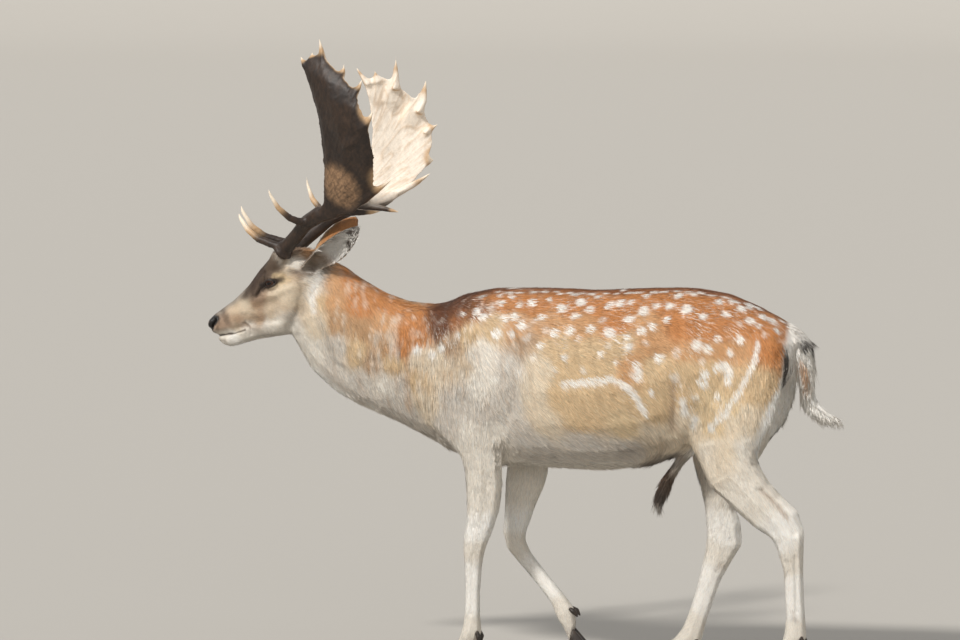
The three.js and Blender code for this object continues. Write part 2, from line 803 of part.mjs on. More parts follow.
const model = [
  ...namePieces(without(flesh, [...hollows, ...slits]), fleshCentres).map(([name, solid]) => [
    name,
    solid,
    isPale(name) ? finishes.paleCoat : finishes.coat,
  ]),
  ...SIDES.map((side) => [`eye_${sideName(side)}`, eyeball(side), finishes.eye]),
  ...Object.keys(antlers).flatMap((name) =>
    antlerPieces(name).map(([piece, solid]) => [piece, solid, antlerFinish(piece)]),
  ),
  ...legNames.flatMap((leg) =>
    SIDES.flatMap((side) => [
      [`${leg}_hoof_${toeName(leg, side)}`, claw(leg, side), finishes.hoof],
      [`${leg}_dewclaw_${toeName(leg, side)}`, dewclaw(leg, side), finishes.hoof],
    ]),
  ),
];

const buck = new THREE.Group();
buck.name = "fallow_buck";
for (const [name, solid, finish] of model) {
  const mesh = new THREE.Mesh(geometryOf(solid), new THREE.MeshStandardMaterial(finish));
  mesh.name = name;
  buck.add(mesh);
}

// The frame's origin lies on the floor, under the middle of the whole model.
const middle = new THREE.Box3().setFromObject(buck).getCenter(vec(0, 0, 0));
for (const mesh of buck.children) mesh.geometry.translate(-middle.x, -middle.y, 0);

export default buck;
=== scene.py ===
"""A mature fallow buck in mid-stride, at life size: hide, coat, antlers, hooves and eyes.

Tables hold millimetres and everything built is in metres. The nose points to -X, the left side to -Y, and
the animal stands on Z = 0. Places on the hide are read off upright boards beside it, as (back, up) pairs.
"""
import logging
import math
from collections.abc import Iterable, Sequence
from dataclasses import dataclass, field
from enum import Enum

import bmesh
import bpy
import numpy as np
from bpy.types import Material, Mesh, Node, NodeTree, Object
from mathutils import Matrix, Vector
from mathutils.bvhtree import BVHTree


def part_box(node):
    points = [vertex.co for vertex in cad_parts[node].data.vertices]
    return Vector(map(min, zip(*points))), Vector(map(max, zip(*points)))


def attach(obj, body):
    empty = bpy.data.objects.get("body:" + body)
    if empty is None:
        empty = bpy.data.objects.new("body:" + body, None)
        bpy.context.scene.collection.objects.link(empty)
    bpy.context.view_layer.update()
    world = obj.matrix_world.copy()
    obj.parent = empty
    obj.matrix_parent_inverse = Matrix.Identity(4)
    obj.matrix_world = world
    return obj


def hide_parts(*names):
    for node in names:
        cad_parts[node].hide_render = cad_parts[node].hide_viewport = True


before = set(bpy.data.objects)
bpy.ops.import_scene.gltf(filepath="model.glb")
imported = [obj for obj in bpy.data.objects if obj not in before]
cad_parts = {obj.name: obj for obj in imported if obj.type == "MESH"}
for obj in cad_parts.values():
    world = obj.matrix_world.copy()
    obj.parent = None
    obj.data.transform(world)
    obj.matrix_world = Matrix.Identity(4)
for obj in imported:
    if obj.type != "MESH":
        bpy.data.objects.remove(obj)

log = logging.getLogger("fallow_buck")

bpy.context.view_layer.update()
NODES = sorted(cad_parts)
MM = 0.001
BOARD_ZERO = -3.5  # where the boards' zero stands on X, in millimetres
BOARD_TURN = math.radians(15)  # the boards are carried onto the hide along this level line,
BOARD_DIP = math.radians(4.5)  # which falls by this much towards the hide

LEFT, RIGHT = -1, 1
FULL_TURN = {"angle": 2 * math.pi, "axis": (0, 0, 1), "cent": (0, 0, 0), "use_merge": True}  # for a spin


# ---- Colours ----


def linear(code: str) -> tuple[float, float, float]:
    """Turn an sRGB hex code into linear light.

    Args:
        code: six hex digits, such as "c68a52".

    Returns:
        Red, green and blue from 0 to 1.
    """
    values = [int(code[i : i + 2], 16) / 255 for i in (0, 2, 4)]
    return tuple(v / 12.92 if v <= 0.04045 else ((v + 0.055) / 1.055) ** 2.4 for v in values)


class Hair(Enum):
    """The hair colours of a fallow buck going from its summer coat to its winter coat."""

    WHITE = "f1ece4"
    OFF_WHITE = "e3dbce"
    CREAM = "dccbb2"
    PALE_GREY = "cdc4b8"
    ASH = "9c9286"
    SMOKE = "5a4a3d"
    UMBER = "42332a"
    SOOT = "2c231e"
    BLACK = "14100e"
    CHESTNUT = "5f3822"
    BAY = "8f5831"
    RUST = "bb7c48"
    FOX = "c5966a"
    SAND = "ceb28c"
    FAWN = "ae8964"
    DUN = "a08670"
    STRAW = "d9c09a"
    CHEEK = "cdb99f"
    TAN = "ab8f74"


def ink_of(code: str) -> np.ndarray:
    """Give a hex code's linear colour as an array."""
    return np.array(linear(code), np.float32)


def mixed(ink: np.ndarray, other: np.ndarray, share: np.ndarray) -> np.ndarray:
    """Mix another colour into rows of colours, by a share for each row."""
    return ink + (other - ink) * share[:, None]


INK = {tone: ink_of(tone.value) for tone in Hair}


# ---- Arrays ----


def unit(vectors: np.ndarray) -> np.ndarray:
    """Scale each row to length 1."""
    return vectors / np.maximum(np.linalg.norm(vectors, axis=-1, keepdims=True), 1e-9)


def ease(low: float, high: float, values: np.ndarray) -> np.ndarray:
    """Rise smoothly from 0 at low to 1 at high."""
    share = np.clip((values - low) / (high - low), 0, 1)
    return share * share * (3 - 2 * share)


def read_points(mesh: Mesh) -> np.ndarray:
    """Read a mesh's points as rows.

    Args:
        mesh: the mesh to read.

    Returns:
        A row of three for each point.
    """
    flat = np.empty(len(mesh.vertices) * 3, np.float32)
    mesh.vertices.foreach_get("co", flat)
    return flat.reshape(-1, 3)


def read_normals(mesh: Mesh) -> np.ndarray:
    """Read the normals of a mesh's points as rows.

    Args:
        mesh: the mesh to read.

    Returns:
        A row of three for each point.
    """
    flat = np.empty(len(mesh.vertices) * 3, np.float32)
    mesh.vertex_normals.foreach_get("vector", flat)
    return flat.reshape(-1, 3)


def write_points(mesh: Mesh, points: np.ndarray) -> None:
    """Move a mesh's points to the rows given."""
    mesh.vertices.foreach_set("co", points.astype(np.float32).ravel())
    mesh.update()


def read_edges(mesh: Mesh) -> np.ndarray:
    """Read a mesh's edges as pairs of point numbers.

    Args:
        mesh: the mesh to read.

    Returns:
        A row of two for each edge.
    """
    flat = np.empty(len(mesh.edges) * 2, np.int32)
    mesh.edges.foreach_get("vertices", flat)
    return flat.reshape(-1, 2)


def relax(mesh: Mesh, rounds: int, pull: np.ndarray) -> None:
    """Smooth a mesh by drawing each point towards the middle of its neighbours.

    Args:
        mesh: the mesh to smooth.
        rounds: how many times.
        pull: how strongly each point is drawn, from 0 to 1.
    """
    points = read_points(mesh).astype(np.float64)
    edges = read_edges(mesh)
    count = len(points)
    first, second = edges[:, 0], edges[:, 1]
    neighbours = np.bincount(edges.ravel(), minlength=count)[:, None]
    weight = 0.6 * np.reshape(pull, (-1, 1))
    for _ in range(rounds):
        total = np.stack(
            [
                np.bincount(first, points[second, k], count) + np.bincount(second, points[first, k], count)
                for k in range(3)
            ],
            axis=1,
        )
        points += weight * (total / neighbours - points)
    write_points(mesh, points)


def store_colour(mesh: Mesh, name: str, colours: np.ndarray) -> None:
    """Keep one colour for each point.

    Args:
        mesh: the mesh that carries them.
        name: the attribute's name.
        colours: linear red, green and blue, a row for each point.
    """
    layer = mesh.attributes.new(name, "FLOAT_COLOR", "POINT")
    rows = np.ones((len(mesh.vertices), 4), np.float32)
    rows[:, :3] = colours
    layer.data.foreach_set("color", rows.ravel())


def store_value(mesh: Mesh, name: str, values: np.ndarray) -> None:
    """Keep one number for each point, under the attribute's name."""
    mesh.attributes.new(name, "FLOAT", "POINT").data.foreach_set("value", values.astype(np.float32))


class Noise:
    """Smooth random numbers from -1 to 1 that fill space and come out the same each time."""

    CELLS = 64

    def __init__(self, seed: int) -> None:
        """Fill the lattice.

        Args:
            seed: a different one gives a different pattern.
        """
        cells = np.random.default_rng(seed).random((self.CELLS,) * 3, dtype=np.float32)
        self.lattice = (cells * 2 - 1).ravel()

    def at(self, points: np.ndarray, size: float | Sequence[float]) -> np.ndarray:
        """Look the pattern up.

        Args:
            points: places in metres, as rows.
            size: how far apart the pattern's lumps are, in millimetres, one number or one for each axis.

        Returns:
            A number from -1 to 1 for each place.
        """
        scaled = points / (np.asarray(size, np.float32) * MM)
        base = np.floor(scaled).astype(np.int64)
        share = (scaled - base).astype(np.float32)
        share = share * share * (3 - 2 * share)
        mask = self.CELLS - 1
        result = np.zeros(len(points), np.float32)
        for corner in range(8):
            step = np.array([corner >> 2, corner >> 1 & 1, corner & 1])
            cell = (base + step) & mask
            part = np.where(step, share, 1 - share).prod(axis=1)
            result += part * self.lattice[(cell[:, 0] * self.CELLS + cell[:, 1]) * self.CELLS + cell[:, 2]]
        return result


def within(places: np.ndarray, line: np.ndarray, edge: float) -> np.ndarray:
    """Say which places are inside a line's box when it is widened by an edge."""
    return np.all((places > line.min(0) - edge) & (places < line.max(0) + edge), axis=1)


def corners(node: str) -> tuple[np.ndarray, np.ndarray]:
    """Give a CAD node's lowest and highest corners."""
    low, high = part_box(node)
    return np.array(low), np.array(high)


def distance_to_line(points: np.ndarray, line: np.ndarray) -> np.ndarray:
    """Measure how far each point is from a line of straight stretches.

    Args:
        points: places, as rows of two or three numbers.
        line: the line's corners, as rows of the same width. One corner is a spot.

    Returns:
        The distances, in the same unit.
    """
    best = np.linalg.norm(points - line[0], axis=1)
    for start, end in zip(line[:-1], line[1:]):
        run = end - start
        share = np.clip((points - start) @ run / max(float(run @ run), 1e-12), 0, 1)
        best = np.minimum(best, np.linalg.norm(points - start - share[:, None] * run, axis=1))
    return best


# ---- Meshes and materials ----


def joined_copy(nodes: Iterable[str], swell: float) -> bmesh.types.BMesh:
    """Weld a copy of each CAD node, swell it a little so that neighbours meet, and gather the copies.

    Args:
        nodes: the CAD nodes' names.
        swell: how far each surface moves out, in millimetres.

    Returns:
        A bmesh that holds them all.
    """
    gathered = bmesh.new()
    for node in nodes:
        piece = bmesh.new()
        piece.from_mesh(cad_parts[node].data)
        bmesh.ops.remove_doubles(piece, verts=piece.verts, dist=0.01 * MM)
        piece.normal_update()
        for point in piece.verts:
            point.co += point.normal * swell * MM
        mesh = bpy.data.meshes.new("copy")
        piece.to_mesh(mesh)
        gathered.from_mesh(mesh)
        piece.free()
        bpy.data.meshes.remove(mesh)
    return gathered


def object_of(form: bmesh.types.BMesh, name: str, smooth: bool = True) -> Object:
    """Turn a bmesh into an object in the scene, and free it.

    Args:
        form: the bmesh.
        name: the object's name.
        smooth: whether its faces are shaded smooth.

    Returns:
        The object, at the origin.
    """
    mesh = bpy.data.meshes.new(name)
    form.to_mesh(mesh)
    form.free()
    mesh.shade_smooth() if smooth else mesh.shade_flat()
    made = bpy.data.objects.new(name, mesh)
    bpy.context.scene.collection.objects.link(made)
    return made


def settle(made: Object) -> None:
    """Replace an object's mesh with what its modifiers make of it.

    Args:
        made: the object, whose modifiers are taken off it.
    """
    graph = bpy.context.evaluated_depsgraph_get()
    mesh = bpy.data.meshes.new_from_object(made.evaluated_get(graph))
    made.modifiers.clear()
    old, made.data = made.data, mesh
    bpy.data.meshes.remove(old)
    mesh.name = made.name
    mesh.shade_smooth()


def recast(made: Object, voxel: float) -> None:
    """Give an object one even, closed skin in place of all its overlapping solids.

    Args:
        made: the object.
        voxel: the size of its new faces, in millimetres.
    """
    cast = made.modifiers.new("cast", "REMESH")
    cast.mode = "VOXEL"
    cast.voxel_size = voxel * MM
    cast.use_smooth_shade = True
    settle(made)


def thin_out(made: Object, weights: np.ndarray, triangles: int) -> None:
    """Bring an object down to about so many triangles, most of them kept where the weight is low.

    Args:
        made: the object.
        weights: a number from 0 to 1 for each point, high where it may be thinned.
        triangles: the number to aim for.
    """
    group = made.vertex_groups.new(name="thin")
    levels = np.round(weights * 10).astype(int)
    for level in range(1, 11):
        group.add(np.nonzero(levels == level)[0].tolist(), level / 10, "REPLACE")
    made.data.calc_loop_triangles()
    thin = made.modifiers.new("thin", "DECIMATE")
    thin.ratio = min(1.0, triangles / len(made.data.loop_triangles))
    thin.vertex_group = "thin"
    thin.vertex_group_factor = 1.0
    settle(made)
    made.vertex_groups.clear()


def placed(made: Object, slot: str, material: Material, *nodes: str) -> Object:
    """Dress a finished piece and tie it to the frame.

    Args:
        made: the piece.
        slot: the record's material slot; not used.
        material: its finish.
        nodes: the CAD nodes that it stands for.

    Returns:
        The piece.
    """
    made.data.materials.clear()
    made.data.materials.append(material)
    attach(made, "root")
    if nodes:
        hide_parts(*nodes)
    made.data.calc_loop_triangles()
    log.info("%s: %d triangles", made.name, len(made.data.loop_triangles))
    return made


def add_node(tree: NodeTree, kind: str, settings: dict | None = None, **links) -> Node:
    """Add a shader node.

    Args:
        tree: the material's node tree.
        kind: the node's type, without "ShaderNode".
        settings: its properties by name, and its sockets' plain values by their labels.
        links: sockets to feed, by the input's label with spaces as underscores.

    Returns:
        The node.
    """
    node = tree.nodes.new("ShaderNode" + kind)
    for name, value in (settings or {}).items():
        if name in node.inputs:
            node.inputs[name].default_value = value
        else:
            setattr(node, name, value)
    for name, source in links.items():
        tree.links.new(source, node.inputs[name.replace("_", " ")])
    return node


def new_material(name: str) -> tuple[Material, NodeTree]:
    """Start a material with an empty node tree, and give both.

    Args:
        name: what it is called.

    Returns:
        The material, and its tree to add nodes to.
    """
    material = bpy.data.materials.new(name)
    material.use_nodes = True
    material.node_tree.nodes.clear()
    return material, material.node_tree


def finished(material: Material, settings: dict, **links) -> Material:
    """Complete a material with its Principled shader.

    Args:
        material: the material, with its other nodes in place.
        settings: the shader's plain values, by their sockets' labels.
        links: the shader's fed sockets, as for add_node.

    Returns:
        The material.
    """
    tree = material.node_tree
    shader = add_node(tree, "BsdfPrincipled", settings, **links)
    add_node(tree, "OutputMaterial", Surface=shader.outputs["BSDF"])
    return material


# ---- Places on the hide ----


class Board(Enum):
    """Upright boards beside the animal, by how far out from its middle they stand, in millimetres."""

    BARREL = 130
    NECK = 110
    HIND = 90
    FORE = 80
    HEAD = 50


def on_board(points: np.ndarray, board: Board) -> np.ndarray:
    """Carry places back onto a board, each side of the animal onto its own.

    Args:
        points: places in metres.
        board: the board.

    Returns:
        A (back, up) pair in millimetres for each place.
    """
    inward = board.value - np.abs(points[:, 1]) / MM
    back = points[:, 0] / MM - BOARD_ZERO + inward * math.tan(BOARD_TURN)
    up = points[:, 2] / MM + inward * math.tan(BOARD_DIP) / math.cos(BOARD_TURN)
    return np.stack([back, up], axis=1).astype(np.float32)


@dataclass(frozen=True)
class Relief:
    """A ridge or, with a rise below 0, a furrow, along a line on a board."""

    line: tuple[tuple[float, float], ...]
    reach: float
    rise: float
    board: Board = Board.BARREL
    sides: tuple[int, ...] = (LEFT, RIGHT)


BODY_RELIEF = (
    # The shoulder blade's ridge, the furrow in front of it and the folds of the neck.
    Relief(((-55, 885), (-100, 760), (-122, 680)), 18, 3.5),
    Relief(((-190, 850), (-210, 760), (-212, 690), (-185, 610)), 15, -4),
    Relief(((-266, 812), (-270, 760), (-272, 712)), 9, -3.5, Board.NECK),
    Relief(((-242, 790), (-249, 740), (-252, 655)), 12, -4, Board.NECK),
    Relief(((-226, 800), (-228, 690)), 9, 2.5, Board.NECK),
    Relief(((-300, 790), (-292, 700)), 8, 2, Board.NECK),
    Relief(((-350, 760), (-310, 690)), 9, -2, Board.NECK),
    # The windpipe, the furrow of the jugular and the strap of muscle above it.
    Relief(((-510, 800), (-430, 730), (-340, 670)), 15, -3, Board.NECK),
    Relief(((-480, 850), (-400, 780), (-320, 730)), 26, 3, Board.NECK),
    # The point of the shoulder, the triceps and the elbow.
    Relief(((-212, 668),), 32, 6),
    Relief(((-35, 720), (-58, 625)), 38, 5),
    Relief(((18, 810), (22, 700), (-8, 605)), 15, -5),
    Relief(((-28, 562),), 18, 5),
    # The back muscle's lower edge, the hollow of the flank, the hip and its fold.
    Relief(((0, 872), (180, 862), (360, 868)), 16, -2),
    Relief(((385, 835), (352, 770)), 38, -8),
    Relief(((432, 848),), 26, 7),
    Relief(((404, 730), (401, 660), (404, 600)), 18, -7),
    Relief(((350, 640), (300, 600)), 22, 2.5),
    # The thigh.
    Relief(((560, 800), (573, 720), (556, 640)), 14, -3),
    Relief(((612, 765), (592, 665), (585, 600)), 13, -4),
    Relief(((652, 800),), 22, 5),
    Relief(((430, 615),), 28, 5),
    Relief(((500, 720), (500, 640)), 34, 4),
    # Tendons and bones of the legs.
    Relief(((603, 458), (640, 425), (668, 392), (690, 358)), 9, -5, Board.HIND, (LEFT,)),
    Relief(((640, 380), (662, 340), (668, 300)), 8, 2, Board.HIND, (LEFT,)),
    Relief(((690, 300), (692, 240), (694, 170)), 5, -2.5, Board.HIND, (LEFT,)),
    Relief(((530, 420), (527, 345), (541, 300)), 7, -4, Board.HIND, (RIGHT,)),
    Relief(((-60, 470), (-66, 400), (-80, 350)), 9, -2.5, Board.FORE, (LEFT,)),
    Relief(((-96, 280), (-98, 200), (-99, 140)), 5, -2.5, Board.FORE, (LEFT,)),
)

HEAD_RELIEF = (
    Relief(((-556, 885), (-564, 845), (-592, 806)), 17, 4, Board.HEAD),
    Relief(((-642, 872), (-602, 884), (-552, 905)), 9, 3, Board.HEAD),
    Relief(((-648, 852), (-592, 864)), 12, -3, Board.HEAD),
    Relief(((-528, 905), (-534, 855), (-556, 815)), 10, -4, Board.HEAD),
    Relief(((-572, 927),), 14, -3.5, Board.HEAD),
    Relief(((-628, 922), (-607, 932), (-582, 930)), 8, 2.5, Board.HEAD),
    Relief(((-722, 845), (-668, 862)), 12, -2, Board.HEAD),
    Relief(((-738, 806), (-706, 801)), 13, 2.5, Board.HEAD),
    Relief(((-716, 775), (-690, 772)), 11, 2, Board.HEAD),
    Relief(((-640, 800), (-590, 800)), 12, 1.5, Board.HEAD),
)

FACE_RELIEF = (
    # Mouth, nostril, the gland before the eye, and the folds at the mouth's corner and under the eye.
    Relief(((-750, 790), (-737, 784), (-719, 786), (-694, 790), (-669, 797)), 2.2, -2.4, Board.HEAD),
    Relief(((-740, 789), (-716, 793), (-692, 797)), 4, 0.8, Board.HEAD),
    Relief(((-734, 777), (-700, 784)), 4, 0.8, Board.HEAD),
    Relief(((-753, 801), (-751, 811), (-744, 821)), 4.2, -9, Board.HEAD),
    Relief(((-741, 803), (-737, 815), (-738, 828)), 3.5, 2.5, Board.HEAD),
    Relief(((-629, 902), (-635, 890), (-640, 880)), 3.6, -6, Board.HEAD),
    Relief(((-636, 902), (-643, 886)), 4, 1.5, Board.HEAD),
    Relief(((-669, 815), (-659, 806), (-655, 790)), 4, -2, Board.HEAD),
    Relief(((-662, 818), (-650, 806)), 4, 1.2, Board.HEAD),
    Relief(((-622, 893), (-604, 891), (-584, 899)), 3, -1.2, Board.HEAD),
    Relief(((-624, 886), (-600, 883)), 3, 0.8, Board.HEAD),
)


def raise_relief(points: np.ndarray, normals: np.ndarray, reliefs: Iterable[Relief]) -> np.ndarray:
    """Shape the muscles, bones and folds that show on the sides.

    Args:
        points: the hide's points, in metres.
        normals: their normals.
        reliefs: the ridges and furrows.

    Returns:
        How far each point moves out, in metres.
    """
    out = np.zeros(len(points), np.float32)
    boards = {board: on_board(points, board) for board in Board}
    sideways = np.clip(np.abs(normals[:, 1]) * 1.6, 0, 1)
    for relief in reliefs:
        places = boards[relief.board]
        line = np.array(relief.line, np.float32)
        near = within(places, line, 3 * relief.reach)
        if len(relief.sides) == 1:
            near &= points[:, 1] * relief.sides[0] > 0
        chosen = np.nonzero(near)[0]
        apart = distance_to_line(places[chosen], line)
        out[chosen] += relief.rise * MM * np.exp(-((apart / relief.reach) ** 2)) * sideways[chosen]
    return out


@dataclass(frozen=True)
class EyeSeat:
    """One eye's place and the opening between its lids."""

    side: int
    centre: np.ndarray
    radius: float
    gaze: np.ndarray = field(init=False)
    along: np.ndarray = field(init=False)
    above: np.ndarray = field(init=False)

    HALF_LENGTH = math.radians(58)  # the opening's half length and heights, as seen from the eye's centre
    HALF_ABOVE = math.radians(25)
    HALF_BELOW = math.radians(21)
    SLANT = math.radians(17)  # the rear corner stands higher
    ROUNDNESS = 1.7  # 2 is an ellipse, and less is an almond

    def __post_init__(self) -> None:
        """Work out the eye's own axes."""
        gaze = unit(np.array([-0.26, self.side * 0.96, -0.13]))
        level = unit(np.cross(gaze, [0, 0, 1.0]) * -self.side)
        level = level if level[0] > 0 else -level
        up = unit(np.cross(level, gaze))
        up = up if up[2] > 0 else -up
        along = math.cos(self.SLANT) * level + math.sin(self.SLANT) * up
        object.__setattr__(self, "gaze", gaze)
        object.__setattr__(self, "along", along)
        object.__setattr__(self, "above", math.cos(self.SLANT) * up - math.sin(self.SLANT) * level)

    def opening(self, points: np.ndarray) -> tuple[np.ndarray, np.ndarray]:
        """Place points on the opening between the lids.

        Args:
            points: places in metres.

        Returns:
            For each place, 0 at the opening's middle, 1 on its rim and more outside, and its angle above.
        """
        ray = unit(points - self.centre)
        across = np.arctan2(ray @ self.along, ray @ self.gaze)
        height = np.arcsin(np.clip(ray @ self.above, -1, 1))
        half = np.where(height > 0, self.HALF_ABOVE, self.HALF_BELOW)
        power = self.ROUNDNESS
        out = (np.abs(across / self.HALF_LENGTH) ** power + np.abs(height / half) ** power) ** (1 / power)
        return out, height

    def rim(self, turn: np.ndarray) -> np.ndarray:
        """Follow the rim of the opening.

        Args:
            turn: angles round it, 0 at the rear corner.

        Returns:
            The way from the eye's centre to the rim at each angle.
        """
        power = 2 / self.ROUNDNESS
        cosine, sine = np.cos(turn), np.sin(turn)
        across = np.sign(cosine) * np.abs(cosine) ** power * self.HALF_LENGTH
        half = np.where(sine > 0, self.HALF_ABOVE, self.HALF_BELOW)
        height = np.sign(sine) * np.abs(sine) ** power * half
        flat = np.cos(height)
        ways = (flat * np.cos(across))[:, None] * self.gaze + (flat * np.sin(across))[:, None] * self.along
        return ways + np.sin(height)[:, None] * self.above


def eye_seats() -> list[EyeSeat]:
    """Read both eyes' places off the frame.

    Returns:
        The left eye's place and then the right's.
    """
    seats = []
    for side, name in ((LEFT, "eye_left"), (RIGHT, "eye_right")):
        low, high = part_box(name)
        radius = (high.x - low.x) / 2
        outer = low.y if side == LEFT else high.y
        centre = np.array([(low.x + high.x) / 2, outer - side * radius, (low.z + high.z) / 2])
        seats.append(EyeSeat(side, centre, radius))
    return seats


@dataclass(frozen=True)
class Foot:
    """One foot: the middle of its coronet and how far its pastern's front is drawn back, in millimetres."""

    coronet: tuple[float, float, float]
    draw: float


FEET = (
    Foot((-130.5, -74, 38), 10),
    Foot((105.5, 74, 66), 19),
    Foot((655.5, -78, 38), 10),
    Foot((343.5, 78, 38), 10),
)


@dataclass
class Hide:
    """The skin that all the flesh shares: cast over the CAD flesh, smoothed, shaped and drawn in."""

    voxel: float = 3.2
    swell: float = 0.45
    body_triangles: int = 112_000
    unevenness: float = 0.3  # of the flesh under the skin
    face_front: float = -0.548  # the finely divided part of the head lies in front of this
    lid_thickness: float = 1.7
    eye_gap: float = 2.6
    seats: list[EyeSeat] = field(default_factory=eye_seats)

    def flesh(self) -> list[str]:
        """Name the CAD nodes that the hide covers."""
        apart = ("eye", "antler", "hoof", "dewclaw")
        return [name for name in NODES if not any(word in name for word in apart)]

    def build(self) -> Object:
        """Make the hide's mesh.

        Returns:
            The hide, finely divided on the face, with nothing stored on it yet.
        """
        form = joined_copy(self.flesh(), self.swell)
        for seat in self.seats:
            radius = seat.radius + self.lid_thickness * MM
            lump = bmesh.ops.create_icosphere(form, subdivisions=4, radius=radius)
            bmesh.ops.translate(form, verts=lump["verts"], vec=Vector(seat.centre))
        made = object_of(form, "hide")
        recast(made, self.voxel)
        self.smooth(made.data)
        self.shape(made.data)
        thin_out(made, self.thinning(read_points(made.data)), self.body_triangles)
        self.divide_face(made)
        self.shape_face(made.data)
        return made

    def smooth(self, mesh: Mesh) -> None:
        """Take out the flats of the CAD flesh, most on broad forms and least on head, feet and ears.

        Args:
            mesh: the hide's mesh.
        """
        points = read_points(mesh)
        relax(mesh, 8, self.slender(points, 0.5, 0.85))
        relax(mesh, 46, self.slender(points, 0.0, 1.0))

    def slender(self, points: np.ndarray, fine: float, broad: float) -> np.ndarray:
        """Mix a value for slender parts with one for broad parts.

        Args:
            points: places in metres.
            fine: the value on the head, ears, legs and tail.
            broad: the value on the neck, trunk and thighs.

        Returns:
            The value at each place.
        """
        back, up = points[:, 0], points[:, 2]
        share = ease(-0.52, -0.40, back) * ease(0.44, 0.56, up) * (1 - ease(0.655, 0.69, back))
        sheath = ease(0.30, 0.33, back) * (1 - ease(0.40, 0.43, back)) * (1 - ease(0.50, 0.54, up))
        ears = ease(0.935, 0.965, up) * (1 - ease(-0.42, -0.34, back))
        share = share * (1 - sheath) * (1 - ears)
        return fine + (broad - fine) * share

    def coat_depth(self, points: np.ndarray) -> np.ndarray:
        """Say how deep the coat lies over the hide at each place, in millimetres.

        Args:
            points: places in metres, as rows.

        Returns:
            A depth for each place.
        """
        back, up = points[:, 0], points[:, 2]
        depth = 1.0 + 3.2 * ease(-0.56, -0.36, back)
        depth *= 0.35 + 0.65 * ease(0.30, 0.56, up)
        depth -= 2.6 * ease(0.675, 0.70, back) * ease(0.55, 0.60, up)
        return depth

    def shape(self, mesh: Mesh) -> None:
        """Raise the muscles and bones, and draw the hide in by the coat's depth.

        Args:
            mesh: the hide's mesh.
        """
        points, normals = read_points(mesh), read_normals(mesh)
        out = raise_relief(points, normals, BODY_RELIEF + HEAD_RELIEF) + self.ribs(points, normals)
        out -= self.coat_depth(points) * MM
        out += self.unevenness * MM * Noise(3).at(points, 7)
        floor = ease(0.0, 0.05, points[:, 2])
        write_points(mesh, self.draw_pasterns(points + normals * (out * floor)[:, None]))

    @staticmethod
    def draw_pasterns(points: np.ndarray) -> np.ndarray:
        """Draw the front of each pastern back to its hoof's wall.

        Args:
            points: the hide's points.

        Returns:
            The points, moved.
        """
        for foot in FEET:
            place = np.array(foot.coronet) * MM
            near = np.nonzero(np.all(np.abs(points - place) < 0.06, axis=1))[0]
            ahead, above = place[0] - points[near, 0], points[near, 2] - place[2]
            share = ease(-0.002, 0.022, ahead) * (1 - ease(-0.018, 0.045, above))
            points[near, 0] += foot.draw * MM * share
        return points

    def ribs(self, points: np.ndarray, normals: np.ndarray) -> np.ndarray:
        """Ripple the barrel over the ribs, by metres outwards.

        Args:
            points: places in metres, as rows.
            normals: which way the hide faces at each.

        Returns:
            How far each place moves along its normal.
        """
        places = on_board(points, Board.BARREL)
        spacing, lean, ripple = 34, 0.22, 0.7
        phase = (places[:, 0] + lean * (places[:, 1] - 700)) / spacing * 2 * math.pi
        reach = ease(40, 90, places[:, 0]) * (1 - ease(300, 350, places[:, 0]))
        reach *= ease(590, 650, places[:, 1]) * (1 - ease(800, 850, places[:, 1]))
        return ripple * MM * np.cos(phase) * reach * np.abs(normals[:, 1])

    def thinning(self, points: np.ndarray) -> np.ndarray:
        """Say where the mesh may be thinned: everywhere but the face, and less on ears and feet.

        Args:
            points: places in metres, as rows.

        Returns:
            A weight from 0 to 1 for each place.
        """
        back, up = points[:, 0], points[:, 2]
        weight = ease(self.face_front - 0.004, self.face_front + 0.012, back)
        fine = np.maximum(1 - ease(0.28, 0.45, up), ease(0.94, 0.96, up) * (1 - ease(-0.4, -0.34, back)))
        return weight * (1 - 0.75 * fine)

    def divide_face(self, made: Object) -> None:
        """Halve the edges on the front of the head, for its folds and lids.

        Args:
            made: the hide's object.
        """
        form = bmesh.new()
        form.from_mesh(made.data)
        edges = [e for e in form.edges if max(v.co.x for v in e.verts) < self.face_front]
        bmesh.ops.subdivide_edges(form, edges=edges, cuts=1, use_grid_fill=True)
        bmesh.ops.triangulate(form, faces=form.faces)
        form.to_mesh(made.data)
        form.free()
        made.data.shade_smooth()
        inside = 1 - ease(self.face_front - 0.01, self.face_front, read_points(made.data)[:, 0])
        relax(made.data, 3, 0.8 * inside)

    def shape_face(self, mesh: Mesh) -> None:
        """Cut the mouth, nostrils and glands, and lay the lids over the eyes.

        Args:
            mesh: the hide's mesh.
        """
        points, normals = read_points(mesh), read_normals(mesh)
        points = points + normals * raise_relief(points, normals, FACE_RELIEF)[:, None]
        for seat in self.seats:
            points = self.lay_lids(points, seat)
        write_points(mesh, points)

